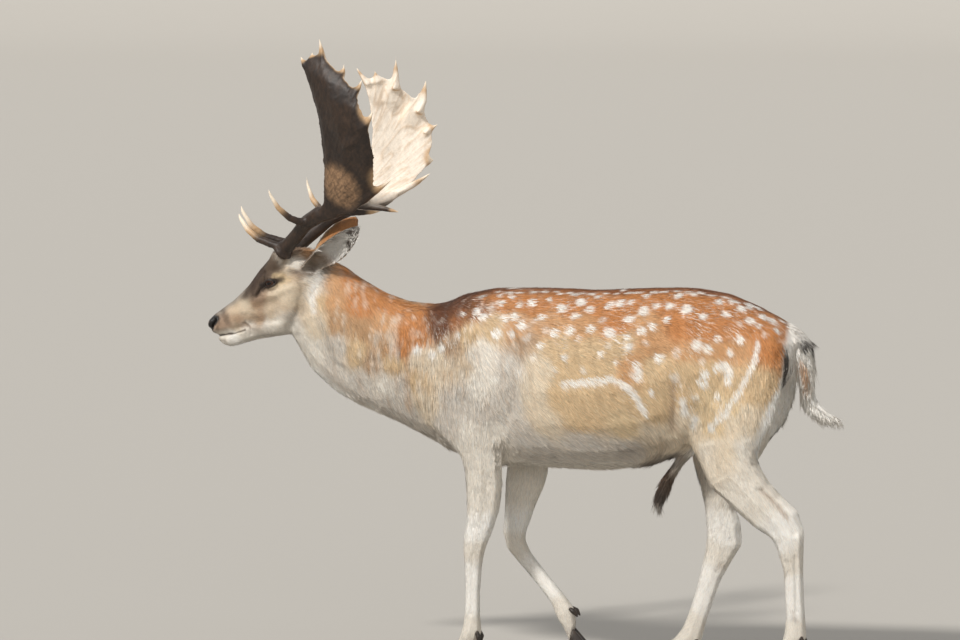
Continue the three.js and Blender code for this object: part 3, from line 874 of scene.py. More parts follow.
    def lay_lids(self, points: np.ndarray, seat: EyeSeat) -> np.ndarray:
        """Wrap the skin round one eye, with a fold in each lid, and open it between the lids.

        Args:
            points: the hide's points.
            seat: the eye.

        Returns:
            The points, moved.
        """
        ray = points - seat.centre
        reach = np.linalg.norm(ray, axis=1)
        out, height = seat.opening(points)
        facing = unit(ray) @ seat.gaze
        near = (reach < 1.9 * seat.radius) & (facing > 0.0)
        lid = seat.radius + self.lid_thickness * MM
        upper = height > 0
        crease = np.where(upper, 1.75, 1.7)
        fold = -1.3 * np.exp(-(((out - crease) / 0.14) ** 2))
        fold += 0.7 * np.exp(-(((out - crease - 0.4) / 0.22) ** 2))
        edge = 0.5 * np.exp(-(((out - 1.12) / 0.12) ** 2))
        wrapped = lid + (fold + edge) * MM
        hold = (1 - ease(1.9, 3.1, out)) * ease(0.05, 0.3, facing)
        settled = reach + (wrapped - reach) * hold
        hollow = seat.radius - self.eye_gap * MM
        settled = np.where((out < 1.0) & (facing > 0.2), hollow, settled)
        moved = seat.centre + ray * (settled / np.maximum(reach, 1e-6))[:, None]
        return np.where(near[:, None], moved, points).astype(np.float32)


# ---- The lie of the coat ----


@dataclass(frozen=True)
class Lay:
    """How the coat lies round one place on a board, or on the midline where the board is None.

    The hair points turn degrees below straight back and lifts this many off the hide. Length and width are a
    tuft's, in millimetres, and density is in tufts to the square centimetre.
    """

    board: Board | None
    back: float
    up: float
    turn: float
    length: float
    width: float
    lift: float
    density: float


def lays(board: Board | None, *rows: tuple[float, ...]) -> list[Lay]:
    """List places that share a board."""
    return [Lay(board, *row) for row in rows]


BODY_LAY = (
    # Muzzle, face and jaw.
    *lays(
        Board.HEAD,
        (-722, 818, 2, 5, 1.0, 11, 36), (-735, 797, 25, 4.5, 0.9, 14, 38),
        (-700, 795, 12, 5.5, 1.0, 12, 34),
    ),
    *lays(None, (-715, 0, -30, 5, 1.0, 9, 36), (-660, 0, -35, 6, 1.1, 8, 34)),
    *lays(
        Board.HEAD,
        (-690, 845, -12, 6, 1.1, 9, 32), (-650, 850, 8, 7, 1.2, 9, 30), (-640, 890, -20, 6, 1.1, 9, 32),
        (-600, 885, 18, 6, 1.1, 9, 32), (-605, 930, -28, 6.5, 1.1, 10, 32),
    ),
    *lays(None, (-620, 960, -48, 8, 1.3, 11, 28), (-560, 990, -15, 13, 1.6, 16, 20)),
    *lays(
        Board.HEAD,
        (-580, 975, -80, 11, 1.4, 10, 24), (-600, 840, 22, 8, 1.3, 9, 26),
        (-548, 840, 55, 11, 1.6, 11, 20), (-550, 900, 18, 9, 1.4, 10, 24),
        (-550, 935, 5, 10, 1.5, 12, 22),
    ),
    *lays(None, (-690, 700, 0, 7, 1.2, 12, 26), (-600, 700, 12, 10, 1.5, 12, 20)),
    *lays(Board.HEAD, (-500, 945, 25, 14, 1.8, 14, 17)),
    *lays(Board.NECK, (-480, 890, 52, 15, 2.0, 9, 15)),
    # Neck.
    *lays(None, (-520, 700, 52, 18, 2.2, 10, 13), (-430, 1000, 22, 17, 2.1, 8, 13)),
    *lays(
        Board.NECK,
        (-420, 890, 60, 16, 2.1, 7, 13), (-430, 800, 66, 18, 2.2, 8, 12),
        (-400, 720, 62, 20, 2.4, 9, 12),
    ),
    *lays(None, (-380, 500, 40, 24, 2.6, 9, 11)),
    *lays(
        Board.NECK,
        (-310, 860, 60, 18, 2.3, 7, 12), (-310, 760, 74, 21, 2.5, 9, 11),
        (-300, 670, 68, 23, 2.6, 10, 11),
    ),
    *lays(None, (-270, 1000, 4, 20, 2.4, 8, 11), (-290, 500, 42, 26, 2.8, 9, 10)),
    # Shoulder, chest and brisket.
    *lays(
        Board.BARREL,
        (-215, 840, 68, 21, 2.5, 9, 11), (-215, 740, 82, 25, 2.8, 11, 10.5),
        (-205, 640, 76, 25, 2.8, 11, 10.5), (-150, 860, 48, 20, 2.5, 10, 11),
        (-140, 780, 72, 25, 2.8, 12, 10), (-110, 690, 76, 25, 2.8, 11, 10),
        (-90, 600, 82, 20, 2.5, 9, 11),
    ),
    *lays(None, (-200, 400, 25, 24, 2.7, 9, 10), (-150, 1000, 2, 20, 2.6, 9, 11)),
    # Back, ribs and belly.
    *lays(
        None,
        (0, 1000, 0, 17, 2.4, 7, 11), (200, 1000, 0, 17, 2.4, 7, 11), (400, 1000, 0, 17, 2.4, 7, 11),
        (560, 1000, 8, 18, 2.4, 7, 11),
    ),
    *lays(
        Board.BARREL,
        (0, 880, 14, 17, 2.4, 7, 10.5), (-20, 790, 52, 22, 2.7, 9, 10), (0, 700, 62, 23, 2.7, 9, 10),
        (20, 600, 48, 22, 2.6, 9, 10), (130, 880, 7, 17, 2.4, 7, 10.5), (130, 800, 25, 19, 2.5, 7, 10),
        (130, 700, 42, 21, 2.7, 8, 10), (130, 600, 40, 23, 2.7, 9, 10), (260, 880, 5, 17, 2.4, 7, 10.5),
        (260, 800, 22, 19, 2.5, 7, 10), (260, 700, 40, 21, 2.7, 8, 10), (260, 600, 36, 24, 2.8, 10, 10),
        (385, 880, 9, 17, 2.4, 7, 10.5), (375, 800, 32, 19, 2.5, 7, 10), (375, 710, 52, 22, 2.7, 9, 10),
        (385, 620, 60, 24, 2.8, 10, 10),
    ),
    *lays(
        None,
        (50, 400, 4, 24, 2.8, 9, 9.5), (200, 400, 4, 24, 2.8, 9, 9.5), (330, 400, 12, 26, 2.8, 10, 9.5),
    ),
    # Hip, thigh, croup and buttock.
    *lays(
        Board.BARREL,
        (500, 885, 12, 18, 2.4, 7, 10.5), (475, 800, 38, 19, 2.5, 7, 10),
        (465, 710, 60, 20, 2.5, 7, 10), (455, 630, 68, 21, 2.6, 8, 10),
        (590, 865, 32, 18, 2.4, 7, 10.5), (560, 780, 56, 19, 2.5, 7, 10),
        (550, 690, 68, 20, 2.5, 7, 10), (540, 600, 62, 20, 2.5, 8, 10), (635, 800, 66, 20, 2.5, 9, 10),
        (630, 720, 80, 24, 2.6, 12, 10), (590, 630, 76, 24, 2.6, 12, 10),
    ),
    *lays(
        None,
        (630, 1000, 30, 20, 2.5, 8, 10.5), (720, 720, 88, 28, 2.8, 12, 9),
        (600, 500, 85, 22, 2.6, 10, 9),
    ),
)


@dataclass(frozen=True)
class LimbCoat:
    """The coat on one length of a leg, which follows the bone down."""

    length: float
    width: float
    lift: float
    density: float


LIMB_COATS = {
    "upper": LimbCoat(15, 1.9, 6, 15),
    "cannon": LimbCoat(10, 1.4, 6, 21),
    "pastern": LimbCoat(8, 1.3, 10, 25),
}


@dataclass(frozen=True)
class Ear:
    """One ear's place: from its base to its tip, and the way its hollow faces. In millimetres."""

    base: tuple[float, float, float]
    tip: tuple[float, float, float]
    opens: tuple[float, float, float]

    def axes(self) -> tuple[np.ndarray, np.ndarray, np.ndarray]:
        """Give the ear's own axes: from base to tip, out of its hollow, and across it.

        Returns:
            The three axes, each of length 1.
        """
        axis = unit(np.array(self.tip) * MM - np.array(self.base) * MM)
        opens = np.array(self.opens)
        opens = unit(opens - (opens @ axis) * axis)
        return axis, opens, np.cross(axis, opens)

    def place(self, points: np.ndarray) -> tuple[np.ndarray, np.ndarray]:
        """Place points on the ear.

        Args:
            points: places in metres.

        Returns:
            How far along the ear each is, as a share of its length, and its way off the ear's axis.
        """
        base, axis = np.array(self.base) * MM, self.axes()[0]
        along = (points - base) @ axis
        share = along / np.linalg.norm(np.array(self.tip) * MM - base)
        return share, (points - base) - along[:, None] * axis


EARS = {
    LEFT: Ear((-506, -50, 952), (-363, -118, 1057), (0.1, -0.8, -0.6)),
    RIGHT: Ear((-521, 52, 954), (-461, 186, 1057), (-0.3, 0.85, -0.4)),
}
EAR_COAT = LimbCoat(8, 1.3, 12, 24)
TAIL_LINE = ((690, 0, 800), (722, 0, 740), (742, 0, 670), (772, 0, 618))
TAIL_COAT = LimbCoat(30, 2.6, 10, 12)
SHEATH_LINE = ((396, 0, 505), (372, 0, 470), (338, 0, 425), (326, 0, 400))
SHEATH_COAT = LimbCoat(26, 2.4, 12, 14)


def blended(places: np.ndarray, anchors: np.ndarray, values: np.ndarray, spread: float) -> np.ndarray:
    """Mix the values that stand at anchors, by nearness.

    Args:
        places: where the mix is wanted, in metres.
        anchors: where the values stand.
        values: a row for each anchor.
        spread: how far each value rules, in millimetres.

    Returns:
        A row for each place.
    """
    result = np.empty((len(places), values.shape[1]), np.float32)
    anchors = anchors.astype(np.float32)
    values = values.astype(np.float32)
    softness = (spread * MM) ** 2
    scale = 1 / softness
    squares = (anchors**2).sum(1)
    for start in range(0, len(places), 20_000):
        part = places[start : start + 20_000].astype(np.float32)
        apart = (part**2).sum(1)[:, None] + squares - 2 * part @ anchors.T
        nearness = (np.maximum(apart, 0) * scale + 1) ** -3
        result[start : start + 20_000] = nearness @ values / nearness.sum(1, keepdims=True)
    return result


class Carrier:
    """Carries places from the boards onto the finished hide."""

    def __init__(self, skin: Object) -> None:
        """Keep a search tree of the hide.

        Args:
            skin: the hide.
        """
        graph = bpy.context.evaluated_depsgraph_get()
        self.tree = BVHTree.FromObject(skin, graph)

    def carry(self, back: float, up: float, board: Board, side: int) -> np.ndarray:
        """Carry one place from a board along the level line onto one side of the hide.

        Args:
            back: how far back it is on the board.
            up: how far up.
            board: the board.
            side: which side of the animal.

        Returns:
            The place on the hide, in metres.
        """
        start = Vector(((back + BOARD_ZERO) * MM, side * board.value * MM, up * MM))
        inward = math.cos(BOARD_TURN) * math.cos(BOARD_DIP)
        way = Vector((-math.sin(BOARD_TURN) * math.cos(BOARD_DIP), -side * inward, -math.sin(BOARD_DIP)))
        hit = self.tree.ray_cast(start - way * 0.3, way)[0]
        if hit is None or hit.y * side < 0:
            hit = self.tree.find_nearest(start + way * board.value * 0.8 * MM)[0]
        return np.array(hit)

    def on_midline(self, back: float, up: float) -> np.ndarray:
        """Find the hide on the midline, from above where up is high and from below where it is low.

        Args:
            back: how far behind the boards' zero, in millimetres.
            up: how high above the floor, in millimetres.

        Returns:
            The place on the hide, in metres.
        """
        middle = (back + BOARD_ZERO) * MM
        if back > 690:
            return np.array((middle, 0, up * MM))
        from_above = up >= 900 or (up == 0 and back < -600)
        start, way = (1.2, -1) if from_above else (0.02, 1)
        hit = self.tree.ray_cast(Vector((middle, 0, start)), Vector((0, 0, way)))[0]
        return np.array(hit if hit is not None else (middle, 0, up * MM))

    def place(self, row: "Lay | Ground", side: int) -> np.ndarray:
        """Carry a table's row onto one side of the hide, or onto the midline where it has no board.

        Args:
            row: a row with a board, back and up.
            side: which side.

        Returns:
            The place on the hide, in metres.
        """
        if row.board is None:
            return self.on_midline(row.back, row.up)
        return self.carry(row.back, row.up, row.board, side)

    def beside_midline(self, back: float, out: float, side: int) -> np.ndarray:
        """Find the back a little to one side of the midline, by millimetres out.

        Args:
            back: how far behind the boards' zero, in millimetres.
            out: how far from the midline.
            side: which side.

        Returns:
            The place on the hide, in metres.
        """
        start = Vector(((back + BOARD_ZERO) * MM, side * out * MM, 1.2))
        hit = self.tree.ray_cast(start, Vector((0, 0, -1)))[0]
        return np.array(hit)


def limb_stations(name: str) -> tuple[np.ndarray, np.ndarray]:
    """Find three places down one length of a leg, and the way it runs.

    Args:
        name: the CAD node's name.

    Returns:
        The places as rows, in metres, and the way down.
    """
    points = read_points(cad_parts[name].data).astype(float)
    middle = (points.min(0) + points.max(0)) / 2
    way = np.linalg.svd(points - points.mean(0), full_matrices=False)[2][0]
    way = way if way[2] < 0 else -way
    reach = np.abs((points - middle) @ way).max()
    return np.array([middle + way * reach * share for share in (-0.7, 0, 0.7)]), way


class LieOfCoat:
    """The way, length, width, lift and density of the coat, blended between the places in the tables."""

    SPREAD = 26

    def __init__(self, carrier: Carrier) -> None:
        """Carry the tables onto the hide, one set for each side.

        Args:
            carrier: what carries them.
        """
        self.sides = {side: self.rows(carrier, side) for side in (LEFT, RIGHT)}
        self.tree = carrier.tree
        self.swirl = Noise(5)
        self.wander = Noise(6)

    def rows(self, carrier: Carrier, side: int) -> tuple[np.ndarray, np.ndarray]:
        """Lay out one side's places and what stands at each.

        Args:
            carrier: what carries the tables.
            side: which side.

        Returns:
            The places, and rows of way, length, width, lift and density.
        """
        places, values = [], []
        for lay in BODY_LAY:
            turn = math.radians(lay.turn)
            places.append(carrier.place(lay, side))
            values.append([math.cos(turn), 0, -math.sin(turn), lay.length, lay.width, lay.lift, lay.density])
        name = "left" if side == LEFT else "right"
        for limb in ("foreleg", "hindleg"):
            for part, coat in LIMB_COATS.items():
                stations, way = limb_stations(f"{limb}_{name}_{part}")
                places.extend(stations)
                values.extend([[*way, coat.length, coat.width, coat.lift, coat.density]] * len(stations))
        lines = ((TAIL_LINE, TAIL_COAT), (SHEATH_LINE, SHEATH_COAT), (self.ear_line(side), EAR_COAT))
        for line, coat in lines:
            stations = np.array(line, float) * MM
            way = np.gradient(stations, axis=0)
            places.extend(stations)
            values.extend([[*unit(w), coat.length, coat.width, coat.lift, coat.density] for w in way])
        return np.array(places), np.array(values)

    def ear_line(self, side: int) -> np.ndarray:
        """Give three places from an ear's base to its tip, in millimetres."""
        base, tip = np.array(EARS[side].base), np.array(EARS[side].tip)
        return np.array([base + (tip - base) * share for share in (0.25, 0.6, 0.95)])

    def at(self, points: np.ndarray) -> np.ndarray:
        """Blend the rows at each place: way (3), length, width, lift and density.

        Args:
            points: places in metres, as rows.

        Returns:
            A row of seven numbers for each place.
        """
        result = np.empty((len(points), 7), np.float32)
        for side, (places, values) in self.sides.items():
            chosen = (points[:, 1] < 0) == (side == LEFT)
            result[chosen] = blended(points[chosen], places, values, self.SPREAD)
        return result

    def combed(self, ways: np.ndarray, points: np.ndarray, normals: np.ndarray, stray: float) -> np.ndarray:
        """Press ways down onto the hide and let them wander a little.

        Args:
            ways: the blended ways.
            points: the roots.
            normals: the hide's normals there.
            stray: how far each tuft strays on its own, in degrees.

        Returns:
            The way each tuft lies, along the hide.
        """
        flat = unit(ways - (ways * normals).sum(1, keepdims=True) * normals)
        across = np.cross(normals, flat)
        turn = 7 * self.swirl.at(points, 60) + 3.5 * self.wander.at(points, 22)
        turn += np.random.default_rng(8).normal(0, stray, len(points))
        angle = np.radians(turn)[:, None]
        return unit(np.cos(angle) * flat + np.sin(angle) * across)


# ---- Markings ----


@dataclass(frozen=True)
class Ground:
    """The coat's ground colour round one place on a board, or on the midline where the board is None."""

    board: Board | None
    back: float
    up: float
    tone: Hair


def grounds(board: Board | None, tones: dict[Hair, tuple[tuple[float, float], ...]]) -> list[Ground]:
    """List the ground colours of one board, by tone."""
    return [Ground(board, *place, tone) for tone, places in tones.items() for place in places]


GROUNDS = [
    *grounds(
        Board.BARREL,
        {
            Hair.CHESTNUT: ((-170, 880), (-150, 865), (-152, 835), (-118, 885)),
            Hair.BAY: ((-80, 895), (-120, 845), (-75, 865)),
            Hair.RUST: (
                (-228, 845), (-225, 800), (-20, 885), (60, 885), (140, 885), (220, 885), (300, 888),
                (380, 888), (460, 885), (540, 880), (260, 840), (420, 840), (500, 840), (580, 845),
                (630, 830), (620, 780),
            ),
            # TAN at (-135, 800) is painted shade in the fold of the shoulder blade.
            Hair.TAN: ((-135, 800), (40, 790)),
            Hair.SAND: (
                (-90, 815), (-222, 700), (-30, 830), (110, 785), (190, 785), (270, 790), (140, 740),
                (220, 740), (360, 740), (130, 670), (210, 670), (290, 650), (350, 650), (370, 690),
                (180, 615), (610, 730), (430, 735), (490, 730), (550, 725), (430, 680), (585, 690),
            ),
            Hair.CREAM: (
                (-222, 760), (-205, 650), (-175, 740), (70, 735), (60, 680), (80, 610), (350, 590),
                (440, 620), (550, 610), (580, 640), (450, 560), (520, 550),
            ),
            Hair.CHEEK: ((-120, 740),),
            Hair.PALE_GREY: (
                (-120, 670), (-60, 630), (0, 740), (0, 660), (-140, 600), (20, 590), (60, 550),
                (180, 555), (280, 555),
            ),
            Hair.OFF_WHITE: ((-60, 780), (-60, 700), (-90, 580), (-40, 580), (575, 560)),
            Hair.FOX: (
                (20, 835), (100, 835), (180, 835), (340, 840), (350, 790), (290, 745), (440, 790),
                (500, 785), (560, 785),
            ),
            Hair.STRAW: ((280, 600), (490, 670), (540, 660), (500, 615)),
        },
    ),
    *grounds(
        Board.NECK,
        {
            Hair.FOX: ((-440, 930), (-430, 880), (-310, 835)),
            # RUST at (-262, 780) stands partly for the nape's colour and partly for painted shade in a fold
            # of the neck.
            Hair.RUST: (
                (-400, 940), (-340, 905), (-290, 875), (-250, 870), (-370, 870), (-255, 820),
                (-262, 780),
            ),
            Hair.SAND: ((-470, 880), (-380, 760), (-285, 740)),
            Hair.FAWN: ((-430, 830), (-370, 820), (-310, 790)),
            Hair.CREAM: ((-470, 820), (-497, 860)),
            Hair.PALE_GREY: (
                (-430, 770), (-430, 720), (-370, 705), (-255, 690), (-380, 670), (-310, 645),
                (-250, 630),
            ),
            Hair.TAN: ((-330, 740),),
            Hair.OFF_WHITE: ((-480, 770), (-310, 690), (-490, 900)),
        },
    ),
    *grounds(
        Board.HEAD,
        {
            Hair.ASH: ((-728, 842), (-580, 965), (-488, 945)),
            Hair.DUN: ((-716, 828), (-728, 810), (-620, 870), (-568, 985), (-545, 940)),
            Hair.TAN: ((-700, 822), (-684, 822), (-640, 862), (-632, 828)),
            Hair.CHEEK: (
                (-705, 838), (-688, 845), (-655, 845), (-600, 862), (-600, 838), (-570, 862),
                (-555, 930), (-530, 865), (-525, 905),
            ),
            Hair.CREAM: ((-668, 862), (-548, 880), (-560, 905), (-575, 890), (-690, 803), (-555, 955)),
            Hair.STRAW: ((-580, 926),),
            Hair.SMOKE: ((-603, 932), (-600, 950), (-510, 950)),
            Hair.UMBER: ((-628, 920), (-648, 903), (-640, 892), (-668, 880)),
            Hair.PALE_GREY: ((-660, 808), (-556, 845), (-600, 790)),
            Hair.OFF_WHITE: (
                (-615, 812), (-585, 818), (-720, 777), (-660, 785), (-548, 810), (-540, 962),
                (-500, 925),
            ),
            Hair.WHITE: ((-700, 778),),
            Hair.FOX: ((-522, 985),),
        },
    ),
    *grounds(
        None,
        {
            Hair.SMOKE: ((-740, 0), (-580, 990)),
            Hair.ASH: ((-715, 0), (-690, 0)),
            Hair.UMBER: ((-665, 0), (-640, 0), (-615, 0)),
            Hair.DUN: ((-550, 990),),
            Hair.FOX: ((-520, 990), (-480, 990), (-270, 990)),
            Hair.RUST: ((-420, 990), (-340, 990), (-220, 990), (620, 990)),
            Hair.CHESTNUT: ((-170, 990), (-110, 990)),
            Hair.BAY: (
                (-50, 990), (50, 990), (150, 990), (250, 990), (350, 990), (450, 990), (550, 990),
            ),
            Hair.WHITE: (
                (-700, 700), (-500, 700), (-440, 600), (450, 400), (530, 400), (692, 700), (692, 760),
                (730, 700), (780, 620),
            ),
            Hair.OFF_WHITE: (
                (-640, 700), (-580, 700), (-380, 500), (-50, 400), (50, 400), (150, 400), (250, 400),
                (330, 400),
            ),
            Hair.PALE_GREY: ((-310, 500), (-240, 400), (-160, 400)),
        },
    ),
]

LIMB_TONES = {
    "upper": (Hair.OFF_WHITE, Hair.OFF_WHITE, Hair.WHITE),
    "cannon": (Hair.OFF_WHITE, Hair.WHITE, Hair.WHITE),
    "pastern": (Hair.OFF_WHITE, Hair.OFF_WHITE, Hair.PALE_GREY),
}
SHEATH_TONES = (Hair.ASH, Hair.SMOKE, Hair.UMBER, Hair.SOOT)

# White spots, as (back, up, radius) on the barrel's board.
SPOTS = (
    (-69, 894, 8), (-24, 899, 8), (-20, 884, 11), (9, 898, 8), (27, 880, 8), (55, 886, 13),
    (11, 854, 12), (-12, 850, 10), (-79, 863, 11), (-63, 853, 11), (-110, 858, 7), (31, 835, 13),
    (-28, 818, 13), (9, 819, 11), (80, 853, 12), (98, 895, 8), (124, 907, 9), (128, 872, 14),
    (175, 888, 13), (161, 857, 12), (197, 872, 12), (216, 902, 9), (159, 906, 9), (246, 883, 13),
    (270, 888, 12), (198, 828, 12), (244, 821, 15), (110, 817, 13), (149, 824, 12), (76, 789, 9),
    (134, 761, 8), (220, 770, 10), (256, 751, 8), (-120, 814, 8), (-218, 779, 12), (-161, 784, 9),
    (-179, 770, 11), (279, 919, 9), (335, 907, 10), (412, 908, 11), (448, 913, 10), (295, 891, 10),
    (327, 872, 15), (357, 884, 10), (389, 884, 12), (431, 879, 15), (291, 852, 12), (383, 853, 9),
    (347, 838, 12), (321, 828, 12), (285, 810, 10), (289, 788, 11), (363, 766, 12), (455, 799, 14),
    (481, 791, 12), (505, 814, 11), (563, 813, 12), (539, 785, 9), (509, 898, 11), (540, 899, 9),
    (563, 885, 12), (585, 893, 13), (606, 886, 11), (585, 856, 12), (617, 867, 12), (641, 856, 13),
    (661, 859, 10), (345, 686, 9), (451, 679, 8), (509, 680, 9), (497, 609, 14), (473, 715, 15),
    (479, 735, 12), (606, 845, 8), (650, 838, 9), (524, 868, 9), (470, 862, 8),
)
FAINT_SPOTS = (
    (228, 848, 11), (169, 806, 10), (88, 823, 8), (45, 808, 10), (59, 763, 11), (27, 731, 10),
    (469, 760, 8), (622, 828, 8), (402, 726, 12), (407, 780, 13), (110, 735, 8), (180, 735, 8),
    (300, 725, 8), (530, 640, 9), (430, 640, 9), (560, 850, 8), (62, 845, 8), (-45, 872, 8),
    (330, 800, 8), (240, 790, 8),
)
# The front edge of the white rump on the barrel's board, as height, then place.
RUMP_EDGE = (
    (500, 618), (560, 602), (600, 604), (655, 622), (700, 650), (745, 667), (800, 671), (840, 674),
    (880, 680),
)
# White stripes and long patches, as half width, then places on the barrel's board.
STRIPES = (
    (8.5, ((133, 700), (173, 703), (222, 709), (248, 716), (279, 701), (299, 685), (313, 660), (329, 640))),
    (7.0, ((605, 811), (601, 775), (587, 744), (577, 720), (563, 696), (545, 672), (525, 644), (505, 620))),
    (10.0, ((505, 745), (521, 753), (537, 740), (535, 718))),
    (9.5, ((425, 668), (426, 643))),
    (9.0, ((456, 628), (450, 612))),
    (9.0, ((309, 748), (313, 722))),
    (6.0, ((2, 918), (22, 919))),
)


@dataclass(frozen=True)
class Mark:
    """A patch or line of one colour, by distance on a board, half width and softness of its edge."""

    tone: Hair
    line: tuple[tuple[float, float], ...]
    half: float
    soft: float
    strength: float = 1.0
    board: Board = Board.HEAD
    sides: tuple[int, ...] = (LEFT, RIGHT)


NOSE_PAD = ((-752, 812), (-758, 800), (-790, 803), (-790, 817), (-764, 826), (-742, 825), (-752, 812))
LIPS = ((-752, 792), (-737, 784), (-719, 787), (-700, 790))

MARKS = (
    # The dark hair from brow to muzzle, and the pale cheek.
    Mark(Hair.SMOKE, ((-622, 922), (-634, 905), (-640, 893)), 7, 8, 0.8),
    Mark(Hair.SOOT, ((-627, 904), (-635, 892), (-638, 885)), 1.6, 5, 0.55),
    Mark(Hair.SMOKE, ((-724, 840), (-716, 826), (-710, 812)), 4, 8, 0.6),
    Mark(Hair.DUN, ((-712, 806), (-690, 806), (-672, 812)), 3, 8, 0.6),
    Mark(Hair.TAN, ((-690, 826), (-660, 828), (-630, 842)), 4, 9, 0.5),
    Mark(Hair.SMOKE, ((-676, 838), (-655, 838), (-640, 832)), 2, 6, 0.3),
    # Painted shade in the fold at the mouth's corner.
    Mark(Hair.DUN, ((-669, 816), (-655, 806)), 2, 5, 0.5),
    Mark(Hair.STRAW, ((-596, 929), (-578, 928), (-560, 922)), 4, 7, 0.7),
    Mark(Hair.CREAM, ((-607, 888), (-585, 893), (-570, 904)), 3, 6, 0.6),
    # Lips and nose.
    Mark(Hair.BLACK, NOSE_PAD, 8, 4, 1.0),
    Mark(Hair.SOOT, ((-752, 793), (-738, 784), (-719, 787), (-700, 790)), 1.8, 2.2, 0.9),
    Mark(Hair.SMOKE, ((-719, 787), (-694, 791), (-668, 800)), 1.2, 2, 0.8),
    Mark(Hair.ASH, ((-738, 778), (-722, 773)), 3, 5, 0.7),
    # Below and behind the ear, and the streak behind the jaw.
    Mark(Hair.SMOKE, ((-558, 943), (-535, 942)), 4, 7, 0.6),
    Mark(Hair.ASH, ((-535, 942), (-503, 951), (-484, 945)), 3, 7, 0.6),
    Mark(Hair.OFF_WHITE, ((-553, 962), (-540, 957)), 8, 7, 0.9),
    Mark(Hair.WHITE, ((-486, 938), (-497, 915), (-503, 885), (-500, 855)), 6, 8, 0.8),
    Mark(Hair.ASH, ((-487, 832), (-470, 800), (-452, 765)), 5, 9, 0.55),
    Mark(Hair.ASH, ((-520, 905), (-524, 870), (-522, 850)), 2, 8, 0.35),
    # Painted shade in two folds of the neck, and the dark patch on the withers.
    Mark(Hair.SMOKE, ((-268, 790), (-270, 715)), 1.5, 7, 0.5, Board.NECK),
    Mark(Hair.FAWN, ((-248, 760), (-252, 640)), 3, 12, 0.5, Board.NECK),
    Mark(Hair.CHESTNUT, ((-176, 878), (-178, 845), (-170, 812)), 3, 20, 0.75, Board.BARREL),
    Mark(Hair.CHESTNUT, ((-172, 880), (-145, 866), (-100, 880)), 10, 20, 0.75, Board.BARREL),
    # Flank, thigh and rump: painted shade in the fold before the thigh, and painted shade low on the flank
    # towards the belly.
    Mark(Hair.DUN, ((400, 712), (397, 660), (401, 605)), 3, 14, 0.55, Board.BARREL),
    Mark(Hair.SMOKE, ((380, 560), (330, 560), (270, 545)), 10, 24, 0.35, Board.BARREL),
    # Tarsal gland, painted shade in the groove between bone and tendon above each hock, and the marks of the
    # hocks.
    Mark(Hair.ASH, ((666, 252), (673, 266)), 2, 9, 0.45, Board.HIND, (LEFT,)),
    Mark(Hair.ASH, ((476, 250), (488, 262)), 4, 7, 0.5, Board.HIND, (RIGHT,)),
    Mark(Hair.DUN, ((606, 455), (640, 424), (668, 392)), 3, 7, 0.5, Board.HIND, (LEFT,)),
    Mark(Hair.DUN, ((528, 420), (527, 350), (538, 305)), 3, 7, 0.5, Board.HIND, (RIGHT,)),
    Mark(Hair.ASH, ((686, 170), (690, 150)), 3, 6, 0.4, Board.HIND, (LEFT,)),
)


